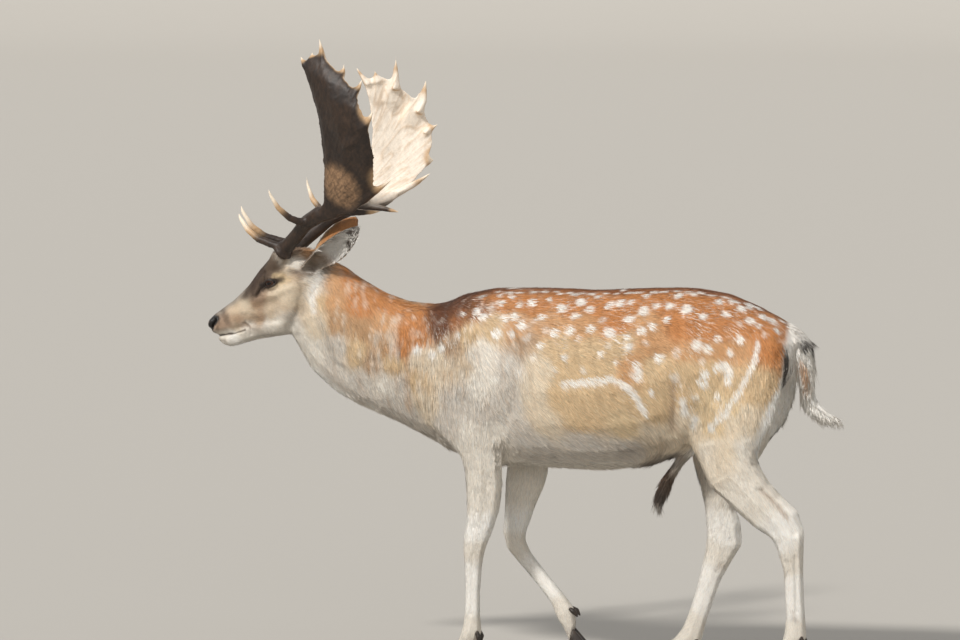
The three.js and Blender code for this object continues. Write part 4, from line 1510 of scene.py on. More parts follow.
class Markings:
    """The coat's colour anywhere on the hide. Skin and tufts both ask it, so that they always agree."""

    GROUND_SPREAD = 17
    ROW_SPACING = 29  # between the small spots along the back
    ROW_OUT = 29  # and how far each row is from the middle

    def __init__(self, carrier: Carrier, seats: list[EyeSeat]) -> None:
        """Carry the tables onto the hide.

        Args:
            carrier: what carries them.
            seats: the eyes, which have dark lids.
        """
        self.seats = seats
        self.blotch, self.edge, self.grain, self.fleck = Noise(11), Noise(12), Noise(13), Noise(14)
        self.sides = {side: self.ground_rows(carrier, side) for side in (LEFT, RIGHT)}
        self.whites = [*self.spots(carrier, LEFT), *self.spots(carrier, RIGHT), *self.back_rows(carrier)]

    def ground_rows(self, carrier: Carrier, side: int) -> tuple[np.ndarray, np.ndarray]:
        """Lay out one side's ground colours.

        Args:
            carrier: what carries the tables.
            side: which side.

        Returns:
            The places and the linear colours.
        """
        places, inks = [], []
        for ground in GROUNDS:
            places.append(carrier.place(ground, side))
            inks.append(INK[ground.tone])
        name = "left" if side == LEFT else "right"
        for limb in ("foreleg", "hindleg"):
            for part, tones in LIMB_TONES.items():
                places.extend(limb_stations(f"{limb}_{name}_{part}")[0])
                inks.extend(INK[tone] for tone in tones)
        places.extend(np.array(SHEATH_LINE, float) * MM)
        inks.extend(INK[tone] for tone in SHEATH_TONES)
        return np.array(places), np.array(inks)

    def spots(self, carrier: Carrier, side: int) -> list[tuple[np.ndarray, float, float]]:
        """Carry the spots and stripes onto one side. The right's stray from the left's, as on a real coat.

        Args:
            carrier: what carries them.
            side: which side.

        Returns:
            Lines, half widths and strengths.
        """
        chance = np.random.default_rng(21)
        found = []
        for rows, strength in ((SPOTS, 0.92), (FAINT_SPOTS, 0.5)):
            for back, up, radius in rows:
                if side == RIGHT:
                    back += chance.uniform(-14, 14)
                    up += chance.uniform(-9, 9)
                    radius *= chance.uniform(0.8, 1.15)
                found.append((carrier.carry(back, up, Board.BARREL, side)[None], radius * 0.92, strength))
        for half, line in STRIPES:
            shift = chance.uniform(-6, 6) if side == RIGHT else 0
            moved = [carrier.carry(back + shift, up + shift / 2, Board.BARREL, side) for back, up in line]
            found.append((np.array(moved), half, 0.85))
        return found

    def back_rows(self, carrier: Carrier) -> list[tuple[np.ndarray, float, float]]:
        """Run a broken row of small spots down each side of the back's dark line.

        Args:
            carrier: what finds places on the hide.

        Returns:
            The spots, as line, reach and strength.
        """
        chance = np.random.default_rng(22)
        found = []
        for side in (LEFT, RIGHT):
            for step in range(22):
                back = -55 + step * self.ROW_SPACING + chance.uniform(-5, 5)
                long = chance.uniform(1, 6)
                out = self.ROW_OUT + chance.uniform(-3, 3)
                ends = [carrier.beside_midline(back + end * long, out, side) for end in (-1, 1)]
                found.append((np.array(ends), chance.uniform(5, 7.5), 0.85))
        return found

    def at(self, points: np.ndarray, normals: np.ndarray) -> np.ndarray:
        """Colour places on the hide.

        Args:
            points: the places, in metres.
            normals: the hide's normals there.

        Returns:
            A linear colour for each place.
        """
        points = points.astype(np.float32)
        wander = np.stack([self.blotch.at(points + shift, 46) for shift in (0, 0.7, 1.9)], axis=1)
        ink = np.empty((len(points), 3), np.float32)
        for side, (places, inks) in self.sides.items():
            chosen = (points[:, 1] < 0) == (side == LEFT)
            moved = points[chosen] + wander[chosen] * 9 * MM
            ink[chosen] = blended(moved, places, inks, self.GROUND_SPREAD)
        ink = self.streaked(ink, points)
        ink = self.back_line(ink, points, normals)
        ink = self.marked(ink, points)
        ink = self.spotted(ink, points)
        ink = self.rump(ink, points)
        ink = self.tail(ink, points)
        for side in EARS:
            ink = self.ear(ink, points, normals, side)
        return self.lids(ink, points)

    @staticmethod
    def laid(ink: np.ndarray, share: np.ndarray, tone: Hair) -> np.ndarray:
        """Lay a tone over colours, by a share for each."""
        return mixed(ink, INK[tone], share)

    def streaked(self, ink: np.ndarray, points: np.ndarray) -> np.ndarray:
        """Break the ground colour up with upright streaks on neck and shoulder, and mottling elsewhere.

        Args:
            ink: the colours so far, a row for each place.
            points: places in metres, as rows.

        Returns:
            The colours, broken up.
        """
        streaks = self.fleck.at(points, (7, 12, 38))
        mottle = self.grain.at(points, 13) * 0.6 + self.fleck.at(points, 5) * 0.4
        back, up = points[:, 0], points[:, 2]
        fore = (1 - ease(-0.02, 0.12, back)) * ease(-0.5, -0.4, back) * ease(0.58, 0.66, up)
        ink = self.laid(ink, 0.45 * fore * np.clip(streaks - 0.1, 0, 1), Hair.FAWN)
        ink = self.laid(ink, 0.70 * fore * np.clip(-streaks - 0.12, 0, 1), Hair.OFF_WHITE)
        depth = 0.05 + 0.04 * ease(0.45, 0.55, up) + 0.06 * (1 - ease(-0.52, -0.48, back))
        return ink * (1 + depth * mottle)[:, None]

    def back_line(self, ink: np.ndarray, points: np.ndarray, normals: np.ndarray) -> np.ndarray:
        """Draw the dark line down the middle of the back, wider over the withers.

        Args:
            ink: the colours so far, a row for each place.
            points: places in metres, as rows.
            normals: which way the hide faces at each.

        Returns:
            The colours with the marks laid over them.
        """
        back = points[:, 0]
        half = (13 + 20 * (1 - ease(-0.15, -0.02, back))) * MM
        out = np.abs(points[:, 1]) + self.edge.at(points, 14) * 5 * MM
        share = (1 - ease(0.5, 1.25, out / half)) * ease(0.3, 0.6, normals[:, 2])
        share *= ease(-0.22, -0.13, back) * (1 - ease(0.60, 0.66, back))
        return self.laid(ink, share * (0.55 + 0.3 * (1 - ease(-0.12, 0.0, back))), Hair.CHESTNUT)

    def marked(self, ink: np.ndarray, points: np.ndarray) -> np.ndarray:
        """Lay the marks over the colours, in their order.

        Args:
            ink: the colours so far, a row for each place.
            points: places in metres, as rows.

        Returns:
            The colours with the marks laid over them.
        """
        ragged = self.edge.at(points, 9)
        boards = {board: on_board(points, board) for board in Board}
        for mark in MARKS:
            places = boards[mark.board]
            line = np.array(mark.line, np.float32)
            near = within(places, line, mark.half + 1.6 * mark.soft)
            if len(mark.sides) == 1:
                near &= points[:, 1] * mark.sides[0] > 0
            chosen = np.nonzero(near)[0]
            apart = distance_to_line(places[chosen], line) + ragged[chosen] * mark.soft * 0.5
            share = (1 - ease(mark.half - mark.soft / 2, mark.half + mark.soft, apart)) * mark.strength
            ink[chosen] = self.laid(ink[chosen], share, mark.tone)
        return ink

    def spotted(self, ink: np.ndarray, points: np.ndarray) -> np.ndarray:
        """Lay the white spots and stripes over the colours, by distance along the hide.

        Args:
            ink: the colours so far, a row for each place.
            points: places in metres, as rows.

        Returns:
            The colours with the marks laid over them.
        """
        ragged = self.edge.at(points, 8) * 3.0 + self.grain.at(points, 4) * 1.5
        for line, half, strength in self.whites:
            chosen = np.nonzero(within(points, line, (half + 8) * MM))[0]
            apart = distance_to_line(points[chosen], line.astype(np.float32)) / MM + ragged[chosen]
            share = (1 - ease(half - 3.5, half + 3.0, apart)) * strength
            ink[chosen] = self.laid(ink[chosen], share, Hair.WHITE)
        return ink

    def rump(self, ink: np.ndarray, points: np.ndarray) -> np.ndarray:
        """Lay the white patch round the tail, with the black line that edges it in front.

        Args:
            ink: the colours so far, a row for each place.
            points: places in metres, as rows.

        Returns:
            The colours with the marks laid over them.
        """
        places = on_board(points, Board.BARREL)
        back, up = places[:, 0], places[:, 1] + self.edge.at(points, 10) * 3
        ahead = back - np.interp(up, *np.array(RUMP_EDGE, np.float32).T) + self.edge.at(points, 11) * 3
        high = ease(505, 545, up) * ease(500, 560, back)
        ink = self.laid(ink, ease(-7, 6, ahead) * high * 0.97, Hair.WHITE)
        edge = distance_to_line(places, np.array(((678, 784), (681, 750), (684, 712)), np.float32))
        line = (1 - ease(4, 9, edge + self.grain.at(points, 9) * 2)) * ease(560, 600, back)
        return self.laid(ink, line * 0.92, Hair.SOOT)

    def tail(self, ink: np.ndarray, points: np.ndarray) -> np.ndarray:
        """Draw the tail's black upper side with its tan streak, between white edges.

        Args:
            ink: the colours so far, a row for each place.
            points: places in metres, as rows.

        Returns:
            The colours with the marks laid over them.
        """
        back, out, up = points[:, 0], np.abs(points[:, 1]), points[:, 2]
        line = np.array(TAIL_LINE, np.float32) * MM
        on_tail = ease(0.672, 0.684, back)
        ahead = np.interp(up, line[::-1, 2], line[::-1, 0])
        ragged = self.edge.at(points, 12) * 3 * MM
        patch = np.hypot((back - ahead + 0.017) / 0.019, (up + ragged - 0.799) / 0.013)
        ink = self.laid(ink, (1 - ease(0.75, 1.2, patch)) * on_tail * 0.95, Hair.BLACK)
        ridge = (1 - ease(0.006, 0.012, out + ragged)) * ease(0.700, 0.73, up)
        ink = self.laid(ink, ridge * ease(-0.006, 0.008, back - ahead) * on_tail * 0.95, Hair.SOOT)
        streak = (1 - ease(0.5, 1.1, np.abs(back - ahead + 0.032 + ragged) / 0.009)) * ease(0.70, 0.73, up)
        return self.laid(ink, streak * (1 - ease(0.778, 0.788, up)) * on_tail * 0.8, Hair.FOX)

    def ear(self, ink: np.ndarray, points: np.ndarray, normals: np.ndarray, side: int) -> np.ndarray:
        """Colour one ear: brown back, pale edge, white hair with dark specks inside.

        Args:
            ink: the colours so far.
            points: the places.
            normals: the hide's normals.
            side: which ear.

        Returns:
            The colours.
        """
        _, opens, across = EARS[side].axes()
        share, off = EARS[side].place(points)
        near = (points[:, 1] * side > 0) & (np.linalg.norm(off, axis=1) < 0.052)
        on_ear = np.where(near & (share > 0.12) & (share < 1.15), ease(0.14, 0.34, share), 0)
        inside = ease(-0.1, 0.35, normals @ opens)
        taper = 0.036 * np.sqrt(np.maximum(1 - ((share - 0.45) / 0.62) ** 2, 0.04))
        edge = ease(0.62, 0.95, np.abs(off @ across) / taper)
        outer = (Hair.DUN, Hair.ASH) if side == LEFT else (Hair.FOX, Hair.RUST)
        ink = self.laid(ink, on_ear * (1 - inside), outer[0])
        ink = self.laid(ink, on_ear * (1 - inside) * (1 - edge) * 0.7, outer[1])
        ink = self.laid(ink, on_ear * (1 - inside) * edge * 0.75, Hair.STRAW)
        ink = self.laid(ink, on_ear * inside, Hair.WHITE)
        specks = ease(0.0, 0.35, self.grain.at(points, 13)) * inside * (1 - edge) * ease(0.5, 0.62, share)
        return self.laid(ink, on_ear * specks * 0.85, Hair.SMOKE)

    def lids(self, ink: np.ndarray, points: np.ndarray) -> np.ndarray:
        """Darken the rims of the lids.

        Args:
            ink: the colours so far, a row for each place.
            points: places in metres, as rows.

        Returns:
            The colours with the marks laid over them.
        """
        for seat in self.seats:
            near = np.nonzero(np.linalg.norm(points - seat.centre, axis=1) < 2.0 * seat.radius)[0]
            out, _ = seat.opening(points[near])
            rim = 1 - ease(1.3, 1.85, out)
            ink[near] = self.laid(ink[near], rim * 0.95, Hair.SOOT)
        return ink

    def bare(self, points: np.ndarray) -> np.ndarray:
        """Say where the skin is bare, from 0 to 1: the nose pad, the lips' edges and the lids' rims.

        Args:
            points: places in metres, as rows.

        Returns:
            How bare each place is.
        """
        places = on_board(points, Board.HEAD)
        nose = distance_to_line(places, np.array(NOSE_PAD, np.float32) - (3, 0))
        lips = distance_to_line(places, np.array(LIPS, np.float32))
        share = np.maximum(1 - ease(7, 10, nose), 1 - ease(1.5, 3.0, lips))
        for seat in self.seats:
            near = np.linalg.norm(points - seat.centre, axis=1) < 2.0 * seat.radius
            out, _ = seat.opening(points)
            share = np.maximum(share, np.where(near, 1 - ease(1.2, 1.32, out), 0))
        return share


# ---- Coat ----


@dataclass
class Roots:
    """Where tufts grow: places on the hide, its normals and the place on the hide's unwrap."""

    points: np.ndarray
    normals: np.ndarray
    unwrap: np.ndarray

    def only(self, chosen: np.ndarray) -> "Roots":
        """Keep the chosen roots."""
        return Roots(self.points[chosen], self.normals[chosen], self.unwrap[chosen])


class HideSurface:
    """The finished hide as arrays, for sowing roots."""

    UNWRAP = "OFBake"

    def __init__(self, skin: Object) -> None:
        """Read the hide and unwrap it by its own shape.

        Args:
            skin: the hide's object.
        """
        mesh = skin.data
        self.unwrap_hide(skin)
        mesh.calc_loop_triangles()
        count = len(mesh.loop_triangles)
        corners, loops = np.empty(count * 3, np.int32), np.empty(count * 3, np.int32)
        mesh.loop_triangles.foreach_get("vertices", corners)
        mesh.loop_triangles.foreach_get("loops", loops)
        places = np.empty(len(mesh.loops) * 2, np.float32)
        mesh.uv_layers[self.UNWRAP].uv.foreach_get("vector", places)
        self.points, self.normals = read_points(mesh), read_normals(mesh)
        self.triangles = corners.reshape(-1, 3)
        self.unwrap = places.reshape(-1, 2)[loops.reshape(-1, 3)]
        a, b, c = (self.points[self.triangles[:, k]] for k in range(3))
        turned = np.cross(b - a, c - a)
        self.areas = np.linalg.norm(turned, axis=1) / 2
        self.facing = unit(turned)
        self.middles = (a + b + c) / 3

    def unwrap_hide(self, skin: Object) -> None:
        """Give the hide its unwrap.

        Args:
            skin: the hide's object.
        """
        skin.data.uv_layers.new(name=self.UNWRAP)
        bpy.context.view_layer.objects.active = skin
        skin.select_set(True)
        bpy.ops.object.mode_set(mode="EDIT")
        bpy.ops.mesh.select_all(action="SELECT")
        bpy.ops.uv.smart_project(angle_limit=1.15, island_margin=0.001)
        bpy.ops.object.mode_set(mode="OBJECT")
        skin.select_set(False)

    def sow(self, density: np.ndarray, seed: int) -> Roots:
        """Scatter roots at random.

        Args:
            density: roots to the square centimetre on each triangle.
            seed: a different one gives other places.

        Returns:
            The roots.
        """
        chance = np.random.default_rng(seed)
        wanted = self.areas * 1e4 * density
        number = np.floor(wanted + chance.random(len(wanted))).astype(int)
        triangle = np.repeat(np.arange(len(wanted)), number)
        first, second = chance.random((2, len(triangle)))
        flip = first + second > 1
        first, second = np.where(flip, 1 - first, first), np.where(flip, 1 - second, second)
        shares = np.stack([1 - first - second, first, second], axis=1)[:, :, None].astype(np.float32)
        corners = self.triangles[triangle]
        return Roots(
            (self.points[corners] * shares).sum(1),
            unit((self.normals[corners] * shares).sum(1) * 0.35 + self.facing[triangle]),
            (self.unwrap[triangle] * shares).sum(1),
        )


@dataclass(frozen=True)
class TuftShape:
    """A tuft's form: its points' places along, across and above the root, in shares, and its faces."""

    along: tuple[float, ...]
    across: tuple[float, ...]
    above: tuple[float, ...]
    shade: tuple[float, ...]
    faces: tuple[tuple[int, int, int], ...]


# Short hair: a thin closed blade with a low ridge. Long hair: the same with a ring halfway.
BLADE = TuftShape(
    along=(0.0, 0.0, 0.3, 1.0),
    across=(0.5, -0.5, 0.0, 0.0),
    above=(0.0, 0.0, 0.10, 0.0),
    shade=(0.86, 0.86, 0.97, 1.07),
    faces=((0, 2, 3), (1, 3, 2), (0, 1, 2), (0, 3, 1)),
)
LOCK = TuftShape(
    along=(0.0, 0.0, 0.05, 0.5, 0.5, 0.5, 1.0),
    across=(0.5, -0.5, 0.0, 0.42, -0.42, 0.0, 0.0),
    above=(0.0, 0.0, 0.3, 0.0, 0.0, 0.26, 0.0),
    shade=(0.82, 0.82, 0.88, 0.96, 0.96, 1.0, 1.07),
    faces=(
        (0, 1, 2), (0, 2, 5), (0, 5, 3), (1, 5, 2), (1, 4, 5),
        (0, 3, 4), (0, 4, 1), (3, 5, 6), (5, 4, 6), (3, 6, 4),
    ),
)


@dataclass
class Tufts:
    """Rows that place and size many tufts of one shape."""

    roots: Roots
    ways: np.ndarray
    length: np.ndarray
    width: np.ndarray
    lift: np.ndarray
    ink: np.ndarray
    droop: np.ndarray | None = None

    def only(self, chosen: np.ndarray) -> "Tufts":
        """Keep the chosen tufts.

        Args:
            chosen: the tufts to keep, by number or mask.

        Returns:
            Those tufts alone.
        """
        droop = None if self.droop is None else self.droop[chosen]
        rows = (self.ways, self.length, self.width, self.lift, self.ink)
        return Tufts(self.roots.only(chosen), *(row[chosen] for row in rows), droop)


PATCH = 0.0015  # half a tuft's patch on the unwrap


def hugged(tips: np.ndarray, wanted: np.ndarray, tree: BVHTree) -> np.ndarray:
    """Set tips at their height over the hide, so that none sinks in or stands off where the hide bends.

    Args:
        tips: the tufts' tips, in metres.
        wanted: each one's height, in metres.
        tree: the hide's search tree.

    Returns:
        The tips, moved.
    """
    found = [tree.find_nearest(tip)[:2] for tip in tips.tolist()]
    feet = np.array([foot[:] for foot, _ in found], np.float32)
    ways = np.array([way[:] for _, way in found], np.float32)
    height = ((tips - feet) * ways).sum(1)
    settled = wanted + 0.45 * np.maximum(height - wanted, 0)
    return feet + ways * settled[:, None]


def tuft_mesh(
    name: str,
    tufts: Tufts,
    shape: TuftShape,
    seed: int,
    tree: BVHTree | None = None,
    facing: np.ndarray | None = None,
) -> Object:
    """Join many tufts into one mesh.

    Args:
        name: the piece's name.
        tufts: where they stand and how big they are.
        shape: the form that they share.
        seed: for their small differences.
        tree: the hide's search tree, when the tufts lie close to it.
        facing: the way each tuft takes the light, when it isn't by its own faces.

    Returns:
        The piece, with its colours and its unwrap.
    """
    chance = np.random.default_rng(seed)
    count, corners, faces = len(tufts.length), len(shape.along), np.array(shape.faces, np.int32)
    normals, ways = tufts.roots.normals, tufts.ways
    across = np.cross(normals, ways)
    roll = np.radians(chance.normal(0, 9, count))[:, None]
    above = np.cos(roll) * normals - np.sin(roll) * across
    across = np.cos(roll) * across + np.sin(roll) * normals
    lift = np.radians(tufts.lift * chance.uniform(0.55, 1.5, count))[:, None]
    rise = np.cos(lift) * ways + np.sin(lift) * normals
    bend = chance.normal(0, 0.07, count)[:, None]
    length = (tufts.length * chance.uniform(0.75, 1.2, count) * MM)[:, None]
    width = (tufts.width * chance.uniform(0.7, 1.2, count) * MM)[:, None]
    sunk = tufts.roots.points - normals * 0.35 * MM
    if tree is not None:
        tips = hugged(sunk + rise * length, (np.sin(lift) * length)[:, 0] + 0.25 * MM, tree) - sunk
        length = np.linalg.norm(tips, axis=1, keepdims=True)
        rise = tips / length
    points = np.empty((count, corners, 3), np.float32)
    for corner in range(corners):
        along = shape.along[corner]
        aside = width * shape.across[corner] + bend * length * along**2
        place = sunk + rise * length * along + across * aside + above * width * shape.above[corner]
        if tufts.droop is not None:
            place[:, 2] -= (tufts.droop * along**2) * length[:, 0]
        points[:, corner] = place
    mesh = bpy.data.meshes.new(name)
    total = count * len(faces)
    mesh.vertices.add(count * corners)
    mesh.loops.add(total * 3)
    mesh.polygons.add(total)
    mesh.vertices.foreach_set("co", points.ravel())
    numbers = (np.arange(count, dtype=np.int32)[:, None, None] * corners + faces[None]).ravel()
    mesh.loops.foreach_set("vertex_index", numbers)
    mesh.polygons.foreach_set("loop_start", np.arange(0, total * 3, 3, dtype=np.int32))
    mesh.update(calc_edges=True)
    patch = [[a * 2 * PATCH, (b * 2 - 1) * PATCH] for a, b in zip(shape.across, shape.along)]
    spread = np.array(patch, np.float32)
    unwrap = mesh.uv_layers.new(name=HideSurface.UNWRAP)
    places = tufts.roots.unwrap[:, None, :] + spread[None]
    unwrap.uv.foreach_set("vector", places.reshape(-1, 2)[numbers].astype(np.float32).ravel())
    shade = np.array(shape.shade, np.float32)[None, :, None]
    store_colour(mesh, "coat", np.clip(tufts.ink[:, None, :] * shade, 0, 1).reshape(-1, 3))
    if facing is not None:
        mesh.shade_smooth()
        soft = unit(facing + above * 0.9)
        mesh.normals_split_custom_set_from_vertices(np.repeat(soft, corners, axis=0).astype(np.float32))
    made = bpy.data.objects.new(name, mesh)
    bpy.context.scene.collection.objects.link(made)
    return made


@dataclass(frozen=True)
class LockZone:
    """A place where the hair grows long enough to hang in locks.

    The line is in metres in space, and reach, length and width are in millimetres.
    """

    line: tuple[tuple[float, float, float], ...]
    reach: float
    density: float
    length: float
    width: float
    lift: float
    droop: float
    mirrored: bool = False
    way: tuple[float, float, float] | None = None


RIBBON = ((0.690, 0, 0.800), (0.722, 0, 0.740), (0.742, 0, 0.670), (0.770, 0, 0.618))  # down the tail
FRINGE = ((0.668, 0, 0.778), (0.688, 0, 0.744), (0.704, 0, 0.706))  # down its front
TASSEL = ((0.372, 0, 0.470), (0.338, 0, 0.425), (0.326, 0, 0.402))  # round the sheath's end
BREECH = ((0.660, 0, 0.790), (0.668, 0, 0.720), (0.650, 0, 0.640))
THIGH_EDGE = ((0.655, -0.09, 0.770), (0.636, -0.10, 0.700), (0.600, -0.10, 0.620))
BELLY = ((-0.05, 0, 0.50), (0.10, 0, 0.49), (0.25, 0, 0.50), (0.37, 0, 0.53))
BREAST = ((-0.40, 0, 0.66), (-0.32, 0, 0.62), (-0.22, 0, 0.55), (-0.12, 0, 0.51))
ELBOW = ((-0.02, -0.09, 0.56), (-0.03, -0.085, 0.50))
CROWN = ((-0.585, 0, 0.985), (-0.545, 0, 0.990), (-0.515, 0, 0.985))

# Reach, density, length, width, lift and droop of the locks along each line.
LOCK_ZONES = (
    LockZone(RIBBON, 62, 7.0, 30, 2.2, 8, 0.03),
    LockZone(FRINGE, 27, 9.0, 58, 2.4, 4, 0.0, way=(0.02, 0, -1)),
    LockZone(TASSEL, 34, 8.0, 30, 2.0, 10, 0.15),
    LockZone(BREECH, 50, 4.4, 20, 1.9, 4, 0.10),
    LockZone(THIGH_EDGE, 30, 3.2, 22, 2.2, 9, 0.1, mirrored=True),
    LockZone(BELLY, 62, 2.4, 26, 2.4, 7, 0.10),
    LockZone(BREAST, 55, 2.4, 26, 2.4, 7, 0.10),
    LockZone(ELBOW, 26, 3.0, 20, 2.2, 10, 0.1),
    *(LockZone((tuple(np.array(foot.coronet) * MM),), 42, 9.0, 12, 1.5, 3, 0.0) for foot in FEET),
    LockZone(CROWN, 40, 6.5, 20, 2.2, 22, 0.1),
)


@dataclass
class Coat:
    """All the tufts and locks that stand on the hide."""

    surface: HideSurface
    lie: LieOfCoat
    markings: Markings
    material: Material
    scale: float = 1.36  # of the tables' densities
    narrowing: float = 0.76  # of the short coat's widths
    flattening: float = 0.62  # and of its lifts
    open: np.ndarray | None = None
    most_blades: int = 49_000
    bare_ring: float = 2.5  # between a burr and the hair, in millimetres
    ear_glow: float = 1.5  # how far the thin pale hair in the ears takes light from above

    def build(self) -> None:
        """Grow the short coat, then the long hair."""
        self.open = self.open_skin()
        self.short_coat()
        self.long_hair()
        self.ear_hair()

    def open_skin(self) -> np.ndarray:
        """Say where hair may grow, from 0 to 1: not on bare skin or under burr or hoof.

        Returns:
            How freely hair grows on each triangle.
        """
        points = self.surface.middles
        share = 1 - ease(0.25, 0.6, self.markings.bare(points))
        graph = bpy.context.evaluated_depsgraph_get()
        for name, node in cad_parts.items():
            if not any(part in name for part in ("beam", "hoof", "dewclaw")):
                continue
            ring = (self.bare_ring if "beam" in name else 0.2) * MM
            bone = BVHTree.FromObject(node, graph)
            for number in np.nonzero(within(points, np.array(corners(name)), 0.005))[0]:
                foot, way, _, apart = bone.find_nearest(points[number].tolist())
                inside = (Vector(points[number].tolist()) - foot).dot(way) < 0
                if inside or apart < ring:
                    share[number] = 0
        return share

    def inked(self, roots: Roots, seed: int, contrast: float) -> np.ndarray:
        """Colour each tuft, with a small difference of its own.

        Args:
            roots: where the tufts grow.
            seed: for the differences.
            contrast: how far they go.

        Returns:
            A linear colour for each tuft.
        """
        chance = np.random.default_rng(seed)
        ink = self.markings.at(roots.points, roots.normals)
        depth = contrast * (1.1 - 0.7 * ink.max(1))
        own = chance.normal(0, 1, len(ink)) * depth
        warm = chance.normal(0, 0.25, len(ink)) * depth
        tint = np.stack([1 + own + warm, 1 + own, 1 + own - warm], axis=1)
        return np.clip(ink * np.clip(tint, 0.55, 1.5), 0.002, 0.92)

    def short_coat(self) -> None:
        """Sow the short coat over the whole hide, and part it into pieces."""
        surface = self.surface
        laid = self.lie.at(surface.middles)
        density = laid[:, 6] * self.open * self.scale
        roots = surface.sow(density, 31)
        laid = self.lie.at(roots.points)
        ways = self.lie.combed(laid[:, :3], roots.points, roots.normals, 5)
        ink = self.inked(roots, 32, 0.2)
        width, lift = laid[:, 4] * self.narrowing, laid[:, 5] * self.flattening
        tufts = Tufts(roots, ways, laid[:, 3], width, lift, ink)
        for name, chosen in self.parts(roots.points):
            part, facing = tufts.only(chosen), roots.normals[chosen]
            made = tuft_mesh(f"coat_{name}", part, BLADE, 33, self.lie.tree, facing)
            placed(made, self.slot_of(name), self.material)

    def parts(self, points: np.ndarray) -> list[tuple[str, np.ndarray]]:
        """Part the roots by the body's parts, and halve any part that is too big.

        Args:
            points: the roots' places.

        Returns:
            Each part's name and its roots' numbers.
        """
        back, up, left = points[:, 0], points[:, 2], points[:, 1] < 0
        leg = up < 0.48
        named = (
            ("head", (back < -0.50) & ~leg),
            ("neck", (back >= -0.50) & (back < -0.25) & ~leg),
            ("fore_left", (back >= -0.25) & (back < 0.15) & left & ~leg),
            ("fore_right", (back >= -0.25) & (back < 0.15) & ~left & ~leg),
            ("hind_left", (back >= 0.15) & left & ~leg),
            ("hind_right", (back >= 0.15) & ~left & ~leg),
            ("forelegs", leg & (back < 0.2)),
            ("hindlegs", leg & (back >= 0.2)),
        )
        found = []
        for name, share in named:
            numbers = np.nonzero(share)[0]
            pieces = max(1, math.ceil(len(numbers) / self.most_blades))
            order = numbers[np.argsort(back[numbers], kind="stable")]
            for number, piece in enumerate(np.array_split(order, pieces)):
                found.append((name if pieces == 1 else f"{name}_{number + 1}", piece))
        return found

    @staticmethod
    def slot_of(name: str) -> str:
        """Name the record's slot for a part of the coat."""
        return "leg_coat" if "legs" in name else "coat"

    def long_hair(self) -> None:
        """Grow the locks zone by zone and join them as one piece."""
        surface = self.surface
        made = []
        for number, zone in enumerate(LOCK_ZONES):
            line = np.array(zone.line, np.float32)
            middles = surface.middles.copy()
            if zone.mirrored:
                middles[:, 1] = -np.abs(middles[:, 1])
            apart = distance_to_line(middles, line) / MM
            within = 1 - ease(zone.reach * 0.6, zone.reach, apart)
            density = within * zone.density * self.open * self.scale
            roots = surface.sow(density, 41 + number)
            size = np.ones(len(roots.points))
            laid = self.lie.at(roots.points)[:, :3] if zone.way is None else size[:, None] * zone.way
            ways = self.lie.combed(laid, roots.points, roots.normals, 6)
            ink = self.inked(roots, 51 + number, 0.06)
            length, width = size * zone.length, size * zone.width
            made.append(Tufts(roots, ways, length, width, size * zone.lift, ink, size * zone.droop))
        placed(tuft_mesh("coat_long_hair", self.gathered(made), LOCK, 61), "belly_coat", self.material)

    @staticmethod
    def gathered(groups: Sequence[Tufts]) -> Tufts:
        """Put several groups of tufts together.

        Args:
            groups: the tufts to join.

        Returns:
            All of them, in the same order.
        """
        places = ("points", "normals", "unwrap")
        roots = Roots(*(np.concatenate([getattr(g.roots, row) for g in groups]) for row in places))
        rows = ("ways", "length", "width", "lift", "ink", "droop")
        return Tufts(roots, *(np.concatenate([getattr(g, row) for g in groups]) for row in rows))

    def ear_hair(self) -> None:
        """Stand soft pale hair across the hollow of each ear and along its edge."""
        surface = self.surface
        groups = []
        normals = unit(surface.normals[surface.triangles].sum(1))
        for side, ear in EARS.items():
            axis, opens, across = ear.axes()
            share, off = ear.place(surface.middles)
            near = (surface.middles[:, 1] * side > 0) & (np.linalg.norm(off, axis=1) < 0.05)
            density = np.where(near & (share > 0.12) & (share < 0.98), 9.0, 0)
            density = density * ease(-0.1, 0.3, normals @ opens)
            roots = surface.sow(density * self.scale, 71)
            inward = -np.sign(ear.place(roots.points)[1] @ across)[:, None] * across
            ways = unit(axis * 0.9 + inward * 0.45 + opens * 0.15)
            ways = self.lie.combed(ways, roots.points, roots.normals, 14)
            size = np.ones(len(ways))
            ink = self.inked(roots, 72, 0.08)
            groups.append(Tufts(roots, ways, size * 17, size * 1.3, size * 24, ink, size * 0.05))
        grown = self.gathered(groups)
        lit = unit(grown.roots.normals + np.array((0, 0, self.ear_glow)))
        hair = tuft_mesh("ear_hair", grown, LOCK, 73, None, lit)
        placed(hair, "coat", self.material)


# ---- Finishes ----


@dataclass(frozen=True)
class CoatHair:
    """Deer hair, grown: hollow, slightly waxy guard hairs that give the body a soft satin and no shine."""

    roughness: float = 0.66
    sheen: float = 0.10

    def build(self) -> Material:
        """Make the material that colours each tuft by its own attribute.

        Returns:
            The material.
        """
        material, tree = new_material("guard hair")
        ink = add_node(tree, "Attribute", {"attribute_name": "coat"})
        waxy = {"Roughness": self.roughness, "Specular IOR Level": 0.28}
        sheen = {"Sheen Weight": self.sheen, "Sheen Roughness": 0.5, "Sheen Tint": (1.0, 0.96, 0.9, 1)}
        return finished(material, waxy | sheen, Base_Color=ink.outputs["Color"])


